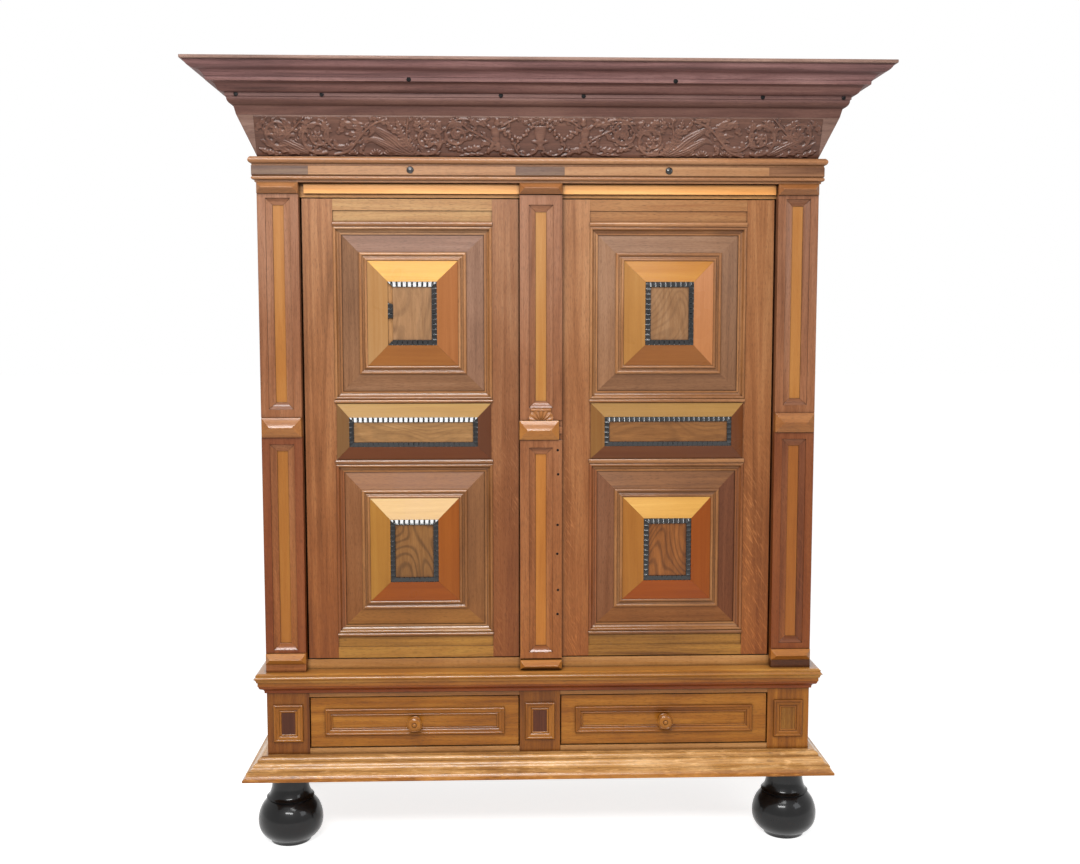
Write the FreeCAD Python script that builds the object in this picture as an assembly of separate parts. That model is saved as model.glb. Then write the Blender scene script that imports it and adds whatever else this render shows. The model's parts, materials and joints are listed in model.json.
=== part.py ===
import FreeCAD, Part
import os
from FreeCAD import Vector

# Two-door kas cupboard with cushion panels, a drawer plinth and a heavy cornice.
# x runs to the right, y from the front to the back, z up. Inside this file y = 0 is the front
# of the carcass; save() moves everything so that the origin lies under the middle of the box.

os.makedirs("parts", exist_ok=True)

# Driving sizes, mm
body_width = 1520.0
body_depth = 580.0

foot_height = 215.0
base_moulding_height = 59.0
drawer_case_height = 176.0
middle_moulding_height = 59.0
body_height = 1341.0
architrave_height = 66.0
frieze_height = 104.0
lower_cornice_height = 53.5
crown_height = 67.5
top_board_thickness = 9.0

base_reach = 61.0            # how far each moulding stands out in front and at the sides
middle_reach = 31.0
architrave_reach = 19.0
frieze_bottom_reach = -4.0
frieze_top_reach = 41.0
lower_cornice_reach = 65.0
crown_reach = 152.0
cornice_reach = 159.0

foot_inset = 49.0            # foot centre from the carcass side
foot_setback = 70.0          # foot centre from the carcass front
foot_ball_radius = 91.0
foot_ball_centre = 63.0
foot_disc_radius = 58.0
foot_disc_height = 8.0
foot_ring_radius = 67.0
foot_ring_level = 127.0
foot_ring_height = 6.0
foot_ring_bevel = 3.0
foot_neck_top_radius = 61.0
foot_neck_radius = 52.0
foot_neck_sag = 3.0
foot_neck_level = 186.0
foot_top_radius = 58.0
foot_top_land = 8.0
foot_dowel_radius = 18.0
foot_dowel_length = 30.0
rear_foot_width = 90.0
rear_foot_taper = 15.0
rear_foot_inset = 5.0

bottom_frame_thickness = 35.0
bottom_frame_width = 120.0
dust_board_thickness = 12.0
case_board_thickness = 20.0
base_post_width = 117.5
base_post_depth = 70.0
centre_post_width = 114.0
base_rail_depth = 60.0
drawer_lower_rail_height = 16.0   # seen above the base moulding
drawer_upper_rail_height = 14.0
middle_moulding_width = 40.0

post_panel_width = 82.0
post_panel_height = 106.0
post_panel_moulding = 22.0
panel_moulding_rise = 4.0
inlay_plate_thickness = 2.0

drawer_gap = 3.0
drawer_face_setback = 4.0
drawer_front_thickness = 22.0
drawer_side_thickness = 12.0
drawer_side_height = 130.0
drawer_box_depth = 445.0
drawer_bottom_thickness = 8.0
drawer_bottom_rise = 8.0
drawer_groove_depth = 6.0
drawer_guide_height = 27.0
runner_width = 29.0
runner_clearance = 0.5
guide_width = 20.0
drawer_panel_width = 500.0
drawer_panel_height = 76.0
drawer_panel_moulding = 21.0
tail_count = 3
tail_root = 20.0
tail_tip = 27.0
knob_radius = 22.0
knob_length = 39.0
knob_tenon_radius = 8.0

pilaster_width = 110.5
pilaster_thickness = 20.0
post_depth = 50.0
rear_post_width = 60.0
rear_post_depth = 60.0
plinth_height = 22.0
plinth_proud = 3.0
block_height = 30.0
middle_block_height = 54.0
left_block_rise = 680.5      # middles of the middle blocks above the body's foot
centre_block_rise = 671.5
right_block_rise = 690.5
block_proud = 4.0
block_ridge_proud = 18.0
middle_block_inset = 1.0      # at each side of the outer pilasters' middle blocks
centre_block_gap = 0.5
block_hip = 0.82             # ridge end inset as a part of half the block's height
ridge_land = 1.6
sunk_panel_width = 66.0
sunk_panel_depth = 12.0
sunk_moulding_width = 18.0
sunk_moulding_lip = 2.0      # outer and inner edge of its moulding below the pilaster's face
sunk_moulding_foot = 7.0
sunk_moulding_sag = 1.2
left_panel_ends = ((9.5, 19.5), (23.0, 12.0))   # frame below and above the lower and upper panel
centre_panel_ends = ((17.5, 21.5), (34.0, 27.0))
right_panel_ends = ((17.0, 19.0), (21.5, 11.0))
inlay_strip_thickness = 3.0

side_frame_thickness = 28.0
side_rail_bottom = 110.0
side_rail_middle = 100.0
side_rail_top = 110.0
side_groove_depth = 9.0
side_panel_thickness = 10.0
side_field_proud = 6.0
side_field_margin = 45.0
side_field_gap = 3.0
tenon_length = 30.0
tenon_shoulder = 10.0
fit_gap = 0.5                # clearance at the bottom of grooves and mortises

sill_height = 28.0
head_height = 38.0
ceiling_drop = 4.0
floor_board_rise = 6.0
floor_board_thickness = 18.0
back_board_thickness = 12.0
back_board_count = 6
back_rebate = 15.0
back_tongue = 6.0
shelf_thickness = 20.0
shelf_first_level = 331.0     # underside above the body's foot
shelf_pitch = 310.0
shelf_count = 3
shelf_setback = 100.0
shelf_side_gap = 1.0
batten_size = 25.0
blind_hole_gap = 2.0         # ends of blind holes beyond what goes into them

door_setback = 25.0
door_thickness = 28.0
door_gap = 3.0
door_side_gap = 5.0
meeting_line = -55.0         # left edge of the right door and its pilaster
meeting_gap = 2.5
centre_pilaster_width = 116.0
left_stile_widths = (82.5, 72.5)      # at the hinges and at the meeting edge
right_stile_widths = (75.0, 192.5)
bottom_rail_height = 71.0
top_rail_height = 74.0
lock_rail_bottom = 545.0     # above the door's foot
lock_rail_height = 179.0
panel_setback = 10.0
panel_thickness = 10.0
panel_groove = 8.0
rail_band_height = 30.0
rail_band_depth = 3.0
rail_strip_height = 13.0     # strips below the panels
low_strip_height = 10.0      # strips above them
rail_strip_proud = 2.0
rail_strip_sag = 3.0

ring_width = 22.0
slope_share = 1 / 9          # widths as parts of the panel opening's width
facet_share = 0.132
inner_moulding_width = 23.0
inner_moulding_rise = 5.0
ebony_width = 13.5
ring_rise = 11.0
ring_inner_level = -8.0      # levels proud of the door's face
slope_top_level = 8.0
facet_foot_level = 13.0
facet_top_level = 33.0
seat_level = 29.0
ebony_outer_level = 33.0
ebony_inner_level = 36.0
ebony_sag = 1.5
long_cushion_height = 154.0
long_cushion_gap = 4.0
long_cushion_rise = 1.5      # its middle above the lock rail's
long_facet_width = 36.5
long_facet_foot = 2.0
long_facet_top = 26.0
long_seat_level = 22.0
long_ebony_outer_level = 25.5
long_ebony_inner_level = 28.5
long_ebony_width = 12.5

pin_radius = 6.0
pin_bore_clearance = 0.06
pin_inset = 24.0             # pivot from the door's outer edge
pin_depth = 40.0
pin_reach = 18.0
pin_collar = (40.0, 20.0, 2.5)
socket_plate = (56.0, 26.0, 3.0)
socket_hole_clearance = 1.0
pin_seat_clearance = 0.05

lock_size = (120.0, 100.0, 20.0)
lock_inset = 5.0
lock_wall = 2.5
lock_bolt_size = (93.0, 15.0, 7.0)
lock_bolt_rise = 22.5
lock_bolt_setback = 4.4
lock_bolt_nose = 3.0         # how far the drawn-back bolt still stands out of the case
iron_clearance = 0.4
keeper_length = 14.0
keeper_inset = 8.5
staple_wall = 2.5
slide_bolt_size = (12.0, 6.0, 187.0)
slide_bolt_inset = 31.5
slide_bolt_end = 2.0
slide_bolt_seat = 0.3
slide_bolt_throw = 18.0
slide_bolt_knob_radius = 5.0
slide_bolt_knob_length = 17.0
staple_length = 14.0
staple_places = (30.0, 150.0)  # from the bolt's free end
bolt_hole_clearance = 1.0

keyhole_offset = 33.0        # keyhole from the meeting line
keyhole_radius = 5.5
keyhole_slot = (4.0, 16.0)
block_seat_depth = 4.0
tongue_height = 16.0
tongue_flare = 2.0
tongue_proud = 5.0
slide_clearance = 0.3
dovetail_clearance = 0.5
cover_width = 109.0
cover_overlap = 1.5
cover_end_gap = 0.5

shell_width = 70.0
shell_height = 33.0
shell_proud = 6.0
shell_cap_drop = 6.0         # shoulders below the top, and how far in they stand
shell_cap_inset = 9.0
shell_sags = (3.0, 6.0)

light_strip_height = 26.0
light_strip_rise = 10.0
light_strip_thickness = 10.0
light_strip_gaps = (12.5, 3.0)   # to the left and the right pilaster
band_setback = 8.0           # plane of the strips behind the architrave's reach
bead_height = 18.0
astragal_sag = 5.0
band_strip_height = 23.0
band_strip_thickness = 2.0
band_level = 19.0
band_dark_end = 620.0        # where the dark end strips of the band stop
band_dark_half = 66.0
architrave_width = 30.0
frieze_board_thickness = 20.0
carving_thickness = 5.0
carving_half_length = 757.0
carving_margin = 3.0
lower_cornice_inner = 10.0   # inner faces of the mouldings, as far out as their reach is counted
crown_inner = 40.0
top_board_count = 4
top_lip_width = 99.0
top_lip_bevel = 2.0
crown_setback = 2.0          # foot of the crown beyond the lower cornice

# Profile tables
# Rows are (out, up) or (out, up, sag of an arc); each table is stretched to the sizes above.
base_profile = ((61, 0), (61, 6), (51, 24, 3.5), (47, 25), (47, 27), (35.5, 35.5, 2.5),
                (24, 44, -2.5), (24, 49), (14, 57, -2.5), (14, 59))
middle_profile = ((5, 0), (5, 3), (12, 12.5, 2), (19, 22, -2), (21, 23), (21, 33), (24, 34),
                  (31, 45, 2), (26, 55, 3), (20, 59))
bead_profile = ((4, 0), (4, 5), (9, 6), (9, 16, -3), (11, 18))
astragal_profile = ((0, 0), (0, 25), (-1, 26), (-1, 29), (3, 31), (3, 47, -5), (3, 48))
lower_cornice_profile = ((0, 0), (6, 23), (8, 24), (21, 42.5, -4), (24, 44.5), (24, 53.5))
crown_profile = ((0, 0), (16.5, 12.5, -3.5), (33, 23, 3.5), (38, 23), (39, 33), (41, 33),
                 (62, 49.25, 4), (83, 65.5, -4), (85, 65.5), (85, 67.5))
panel_profile = ((0, 3), (7, 4, 2.5), (9, 4), (16, 1.5, 1), (21, 1.5, 1.4))
ring_profile = ((0, 11), (8, 11, 2.5), (8, 9), (17, 3, -1.5), (17, 4.5), (22, 4.5))
inner_profile = ((0, 2), (9, 3, 3), (9, 2), (15, 3, -1), (15, 4), (23, 5, 2.5))
knob_profile = ((15.5, 0), (15.5, 4), (9.5, 8), (9.5, 14), (16, 17), (9.5, 21), (22, 25),
                (22, 30), (19, 33.5), (7, 37), (7, 39), (0, 39))

# Levels and planes
half_width = body_width / 2
base_level = foot_height
case_level = base_level + base_moulding_height
middle_level = case_level + drawer_case_height
body_level = middle_level + middle_moulding_height
head_level = body_level + body_height
frieze_level = head_level + architrave_height
cornice_level = frieze_level + frieze_height
crown_level = cornice_level + lower_cornice_height
top_level = crown_level + crown_height
frame_top = base_level + bottom_frame_thickness
dust_top = frame_top + dust_board_thickness

door_back = door_setback + door_thickness
post_back = pilaster_thickness + post_depth
post_inner = half_width - pilaster_width
door_edge = post_inner - door_side_gap
sill_top = body_level + sill_height
head_bottom = head_level - head_height
door_bottom = sill_top + door_gap
door_top = head_bottom - door_gap
pivot_x = door_edge - pin_inset
pivot_y = door_setback + door_thickness / 2
left_meeting = meeting_line - meeting_gap
centre_right = meeting_line + centre_pilaster_width
drawer_lower_rail_top = case_level + drawer_lower_rail_height
drawer_upper_rail_bottom = middle_level - drawer_upper_rail_height
block_bottom = body_level + plinth_height
top_block_bottom = head_level - block_height
centre_block_level = body_level + centre_block_rise
back_plane = body_depth - back_board_thickness
side_inner = half_width - side_frame_thickness
side_groove_x = half_width - side_frame_thickness / 2 - side_panel_thickness / 2
inlay_strip_width = sunk_panel_width - 2 * sunk_moulding_width
drawer_inner = centre_post_width / 2 + drawer_gap
drawer_outer = half_width - base_post_width - drawer_gap
drawer_bottom = drawer_lower_rail_top + drawer_gap
drawer_top = drawer_upper_rail_bottom - drawer_gap
origin_shift = (cornice_reach - body_depth) / 2


# Helpers
def slab(xs, ys, zs):
    """Box between two corners; each argument is a pair in either order."""
    low = [min(pair) for pair in (xs, ys, zs)]
    size = [abs(pair[1] - pair[0]) for pair in (xs, ys, zs)]
    return Part.makeBox(size[0], size[1], size[2], Vector(*low))


def mirrored(shape):
    """The same piece on the other side of the cupboard."""
    return shape.mirror(Vector(0, 0, 0), Vector(1, 0, 0))


def both_sides(shapes):
    return list(shapes) + [mirrored(shape) for shape in shapes]


def fused(shapes):
    return shapes[0].fuse(list(shapes[1:])).removeSplitter()


def save(node, solids):
    """Write one node; several separate solids go in as one compound."""
    shape = Part.makeCompound(list(solids))
    shape.translate(Vector(0, origin_shift, 0))
    shape.exportStep("parts/" + node + ".step")


def outline(start, *steps):
    """Closed face in (u, v). A step is (u, v) straight, or (u, v, sag) for an arc whose
    middle stands sag to the left of its chord."""
    edges = []
    here = Vector(start[0], start[1], 0)
    for step in steps + (start,):
        there = Vector(step[0], step[1], 0)
        chord = there - here
        if len(step) == 3:
            left = Vector(-chord.y, chord.x, 0).normalize()
            middle = (here + there) * 0.5 + left * step[2]
            edges.append(Part.Arc(here, middle, there).toShape())
        elif chord.Length > 1e-6:
            edges.append(Part.makeLine(here, there))
        here = there
    return Part.Face(Part.Wire(edges))


def stretched(table, start, size):
    """Rows of a profile table moved to start and stretched to a width and a height."""
    wide = size[0] / max(row[0] for row in table)
    tall = size[1] / max(row[1] for row in table)
    return [(start[0] + row[0] * wide, start[1] + row[1] * tall)
            + tuple(sag * (wide + tall) / 2 for sag in row[2:]) for row in table]


def lengths(face, corners, across, closed=False):
    """Mitred lengths of a moulding, one solid for each run between two corners. The face's u
    points away from the run, its v along across."""
    count = len(corners)
    runs = count if closed else count - 1
    ways = [(corners[(i + 1) % count] - corners[i]).normalize() for i in range(runs)]
    sides = [way.cross(across) for way in ways]
    box = face.BoundBox
    far, near = box.XMax + 1, box.XMin - 1
    solids = []
    for i in range(runs):
        start, end = corners[i], corners[(i + 1) % count]
        way, side = ways[i], sides[i]
        before = sides[i - 1] if closed or i > 0 else side
        after = sides[(i + 1) % runs] if closed or i < runs - 1 else side
        first = (side + before) * (1 / (1 + side.dot(before)))
        last = (side + after) * (1 / (1 + side.dot(after)))
        reach = max(abs(far), abs(near)) * 2
        third = side.cross(across)
        begin = start - way * reach
        turn = FreeCAD.Matrix(side.x, across.x, third.x, begin.x,
                              side.y, across.y, third.y, begin.y,
                              side.z, across.z, third.z, begin.z)
        bar = face.copy()
        bar.Placement = FreeCAD.Placement(turn)
        bar = bar.extrude(way * ((end - start).Length + 2 * reach))
        lift = across * (box.YMin - 1)
        points = [start + first * far, end + last * far, end + last * near, start + first * near]
        wedge = Part.Face(Part.makePolygon([p + lift for p in points + points[:1]]))
        wedge = wedge.extrude(across * (box.YLength + 2))
        solids.extend(bar.common(wedge).Solids)
    return solids


def around(face):
    """Moulding round the front and the two sides of the carcass."""
    corners = [Vector(-half_width, body_depth, 0), Vector(-half_width, 0, 0),
               Vector(half_width, 0, 0), Vector(half_width, body_depth, 0)]
    return lengths(face, corners, Vector(0, 0, 1))


def ring(face, centre, size, plane):
    """Mitred frame on a front; u runs inwards from the outer edge, v towards the viewer."""
    half_x, half_z = size[0] / 2, size[1] / 2
    corners = [Vector(centre[0] + sx * half_x, plane, centre[1] + sz * half_z)
               for sx, sz in ((-1, 1), (1, 1), (1, -1), (-1, -1))]
    return lengths(face, corners, Vector(0, -1, 0), closed=True)


def frustum(low_face, high_face):
    """Solid between two parallel rectangles with edges the same way round, four corners each."""
    rings = [low_face[::-1], high_face]
    for i in range(4):
        rings.append([low_face[i - 1], low_face[i], high_face[i], high_face[i - 1]])
    faces = [Part.Face(Part.makePolygon(ring + ring[:1])) for ring in rings]
    solid = Part.Solid(Part.Shell(faces))
    if solid.Volume < 0:
        solid.reverse()
    return solid


def front_rectangle(xs, zs, plane, inset=0.0):
    x0, x1 = xs[0] + inset, xs[1] - inset
    z0, z1 = zs[0] + inset, zs[1] - inset
    return [Vector(x0, plane, z0), Vector(x1, plane, z0), Vector(x1, plane, z1),
            Vector(x0, plane, z1)]


def hipped_block(xs, zs, back):
    """Block with a hipped face whose ridge runs sideways."""
    half = (zs[1] - zs[0]) / 2
    middle = (zs[0] + zs[1]) / 2
    inset = half * block_hip
    roof = frustum(front_rectangle(xs, zs, -block_proud),
                   front_rectangle((xs[0] + inset, xs[1] - inset),
                                   (middle - ridge_land / 2, middle + ridge_land / 2),
                                   -block_ridge_proud))
    return fused([slab(xs, (-block_proud, back), zs), roof])


def shaft(xs, zs, ends, back):
    """One length of a pilaster: the board with its sunk panel, the mitred moulding in it and the
    light strip between the mouldings. ends are the widths of frame below and above the panel."""
    middle = (xs[0] + xs[1]) / 2
    panel_x = (middle - sunk_panel_width / 2, middle + sunk_panel_width / 2)
    panel_z = (zs[0] + ends[0], zs[1] - ends[1])
    deep = sunk_panel_depth
    board = slab(xs, (0, back), zs).cut(slab(panel_x, (0, deep), panel_z))
    w = sunk_moulding_width
    face = outline((0, -deep), (0, -sunk_moulding_lip), (w, -sunk_moulding_foot, -sunk_moulding_sag),
                   (w, -deep))
    frame = ring(face, (middle, (panel_z[0] + panel_z[1]) / 2),
                 (sunk_panel_width, panel_z[1] - panel_z[0]), 0)
    strip = slab((panel_x[0] + w, panel_x[1] - w), (deep - inlay_strip_thickness, deep),
                 (panel_z[0] + w, panel_z[1] - w))
    return [board] + frame, strip


def turned(points, centre, axis):
    """Turned piece from a face whose u is the radius and v the height along axis."""
    face = outline(*points)
    face.rotate(Vector(0, 0, 0), Vector(1, 0, 0), 90)
    piece = face.revolve(Vector(0, 0, 0), Vector(0, 0, 1), 360)
    if axis == "front":
        piece.rotate(Vector(0, 0, 0), Vector(1, 0, 0), 90)
    piece.translate(centre)
    return piece


# Feet
def feet():
    disc, ball, level = foot_disc_radius, foot_ball_radius, foot_ball_centre
    low = (ball ** 2 - (level - foot_disc_height) ** 2) ** 0.5
    high = (ball ** 2 - (foot_ring_level - level) ** 2) ** 0.5
    chord = ((high - low) ** 2 + (foot_ring_level - foot_disc_height) ** 2) ** 0.5
    sag = -(ball - (ball ** 2 - chord ** 2 / 4) ** 0.5)
    bevel, ring_top = foot_ring_bevel, foot_ring_level + foot_ring_height
    points = ((0, 0), (disc, 0), (disc, foot_disc_height), (low, foot_disc_height),
              (high, foot_ring_level, sag), (foot_ring_radius - bevel, foot_ring_level),
              (foot_ring_radius, foot_ring_level + bevel),
              (foot_ring_radius - bevel, ring_top), (foot_neck_top_radius, ring_top),
              (foot_neck_radius, foot_neck_level, foot_neck_sag),
              (foot_top_radius, foot_height - foot_top_land),
              (foot_top_radius, foot_height), (foot_dowel_radius, foot_height),
              (foot_dowel_radius, foot_height + foot_dowel_length),
              (0, foot_height + foot_dowel_length))
    front = turned(points, Vector(half_width - foot_inset, foot_setback, 0), "up")
    save("front_feet", both_sides([front]))

    x = half_width - rear_foot_width / 2 - rear_foot_inset
    y = body_depth - rear_foot_width / 2 - rear_foot_inset
    half = rear_foot_width / 2
    ends = []
    for inset, height in ((rear_foot_taper, 0), (0, foot_height)):
        reach = half - inset
        ends.append([Vector(x + sx * reach, y + sy * reach, height)
                     for sx, sy in ((-1, -1), (1, -1), (1, 1), (-1, 1))])
    dowel = Part.makeCylinder(foot_dowel_radius, foot_dowel_length, Vector(x, y, foot_height))
    save("rear_feet", both_sides([fused([frustum(*ends), dowel])]))
    return (x, y)


# Drawer base
def base_case(rear_foot):
    d = half_width
    hole = Part.makeCylinder(foot_dowel_radius, foot_dowel_length + fit_gap,
                             Vector(half_width - foot_inset, foot_setback, foot_height))
    rear_hole = Part.makeCylinder(foot_dowel_radius, foot_dowel_length + fit_gap,
                                  Vector(rear_foot[0], rear_foot[1], foot_height))
    height = (base_level, frame_top)
    front = slab((-d, d), (0, bottom_frame_width), height)
    rear = slab((-d, d), (body_depth - bottom_frame_width, body_depth), height)
    front = front.cut(both_sides([hole]))
    rear = rear.cut(both_sides([rear_hole]))
    side = slab((d - bottom_frame_width, d),
                (bottom_frame_width, body_depth - bottom_frame_width), height)
    save("bottom_frame", [front, rear] + both_sides([side]))

    low = base_level
    steps = stretched(base_profile, (0, low), (base_reach, base_moulding_height))
    moulding = outline((0, low), *steps, (0, steps[-1][1]))
    save("base_moulding", around(moulding))

    corner = slab((d - base_post_width, d), (0, base_post_depth), (frame_top, middle_level))
    centre = slab((-centre_post_width / 2, centre_post_width / 2), (0, base_post_depth),
                  (frame_top, middle_level))
    rear_post = slab((d - rear_post_width, d), (body_depth - rear_post_depth, body_depth),
                     (frame_top, middle_level))
    save("base_posts", both_sides([corner, rear_post]) + [centre])

    steps = stretched(panel_profile, (0, 0), (post_panel_moulding, panel_moulding_rise))
    panel = outline((0, 0), *steps, (post_panel_moulding, 0))
    level = (case_level + middle_level) / 2
    size = (post_panel_width, post_panel_height)
    frames, plates = [], []
    for x in (-d + base_post_width / 2, 0, d - base_post_width / 2):
        frames += ring(panel, (x, level), size, 0)
        reach_x = post_panel_width / 2 - post_panel_moulding
        reach_z = post_panel_height / 2 - post_panel_moulding
        plates.append(slab((x - reach_x, x + reach_x), (-inlay_plate_thickness, 0),
                           (level - reach_z, level + reach_z)))
    save("base_post_mouldings", frames)
    save("base_post_plates", plates)

    span = (centre_post_width / 2, d - base_post_width)
    lower = slab(span, (0, base_rail_depth), (frame_top, drawer_lower_rail_top))
    upper = slab(span, (0, base_rail_depth), (drawer_upper_rail_bottom, middle_level))
    save("drawer_rails", both_sides([lower, upper]))

    side_board = slab((d - case_board_thickness, d),
                      (base_post_depth, body_depth - rear_post_depth), (frame_top, middle_level))
    back_board = slab((-d + rear_post_width, d - rear_post_width),
                      (body_depth - case_board_thickness, body_depth), (frame_top, middle_level))
    save("base_walls", both_sides([side_board]) + [back_board])

    inner_back = body_depth - case_board_thickness
    dust = slab((-d + case_board_thickness, d - case_board_thickness),
                (base_rail_depth, inner_back), (frame_top, dust_top))
    corners = both_sides([corner, rear_post]) + [centre]
    dust = dust.cut(corners)
    cover = slab((-d + middle_moulding_width, d - middle_moulding_width),
                 (middle_moulding_width, body_depth), (body_level - case_board_thickness, body_level))
    bearer = slab((-d + middle_moulding_width, d - middle_moulding_width),
                  (body_depth - middle_moulding_width, body_depth),
                  (middle_level, body_level - case_board_thickness))
    save("base_boards", [dust, cover, bearer])

    # L-shaped runners at the outside, a T-shaped one under both drawers in the middle
    depth = (base_post_depth, inner_back)
    guide_face = drawer_outer - drawer_gap + runner_clearance
    top, rib = drawer_bottom, drawer_bottom + drawer_guide_height
    outer = fused([slab((guide_face - runner_width, guide_face + guide_width), depth, (dust_top, top)),
                   slab((guide_face, guide_face + guide_width), depth, (top, rib))])
    inner_face = drawer_inner + drawer_gap - runner_clearance
    middle = fused([slab((-inner_face - runner_width, inner_face + runner_width), depth,
                         (dust_top, top)),
                    slab((-inner_face, inner_face), depth, (top, rib))])
    save("drawer_runners", both_sides([outer]) + [middle])

    inner = -middle_moulding_width
    steps = stretched(middle_profile, (0, middle_level), (middle_reach, middle_moulding_height))
    nose = outline((inner, middle_level), *steps, (inner, body_level))
    save("middle_moulding", around(nose))


# Drawers
def drawer(name, side):
    """side is -1 for the left drawer and 1 for the right one."""
    inner, outer = side * drawer_inner, side * drawer_outer
    middle = (inner + outer) / 2
    level = (drawer_bottom + drawer_top) / 2
    face = drawer_face_setback
    back = face + drawer_front_thickness
    lap = drawer_side_thickness
    floor_low = drawer_bottom + slide_clearance
    side_top = floor_low + drawer_side_height
    end = back + drawer_box_depth
    groove_low = floor_low + drawer_bottom_rise
    groove_top = groove_low + drawer_bottom_thickness

    side_faces = [inner + side * drawer_gap, outer - side * drawer_gap]
    inward = [side, -side]
    pitch = drawer_side_height / tail_count
    sides, tails = [], []
    for face_x, way in zip(side_faces, inward):
        xs = (face_x, face_x + way * lap)
        board = slab(xs, (back, end), (floor_low, side_top))
        own = []
        for i in range(tail_count):
            middle_z = floor_low + pitch * (i + 0.5)
            points = [Vector(min(xs), back, middle_z - tail_root / 2),
                      Vector(min(xs), back - lap, middle_z - tail_tip / 2),
                      Vector(min(xs), back - lap, middle_z + tail_tip / 2),
                      Vector(min(xs), back, middle_z + tail_root / 2)]
            own.append(Part.Face(Part.makePolygon(points + points[:1])).extrude(Vector(lap, 0, 0)))
        tails += own
        groove = slab((face_x + way * (lap - drawer_groove_depth), face_x + way * lap),
                      (back, end), (groove_low, groove_top))
        sides.append(fused([board] + own).cut(groove))
    inner_xs = (side_faces[0] + inward[0] * lap, side_faces[1] + inward[1] * lap)
    bottom_xs = (inner_xs[0] - inward[0] * drawer_groove_depth,
                 inner_xs[1] - inward[1] * drawer_groove_depth)
    rear = slab(inner_xs, (end - lap, end), (groove_top, side_top))
    bottom = slab(bottom_xs, (back, end), (groove_low, groove_top))
    save(name + "_drawer_box", sides + [rear, bottom])

    hole = Part.makeCylinder(knob_tenon_radius, drawer_front_thickness,
                             Vector(middle, face, level), Vector(0, 1, 0))
    front = slab((inner, outer), (face, back), (drawer_bottom, drawer_top)).cut(tails + [hole])
    w = drawer_panel_moulding
    steps = stretched(panel_profile, (0, 0), (w, panel_moulding_rise))
    profile = outline((0, 0), *steps, (w, 0))
    frame = ring(profile, (middle, level), (drawer_panel_width, drawer_panel_height), face)
    save(name + "_drawer_front", [front] + frame)

    tenon = knob_tenon_radius
    points = [(0, -drawer_front_thickness), (tenon, -drawer_front_thickness), (tenon, 0)]
    points += stretched(knob_profile, (0, 0), (knob_radius, knob_length))
    save(name + "_drawer_knob", [turned(points, Vector(middle, face, level), "front")])


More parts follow.
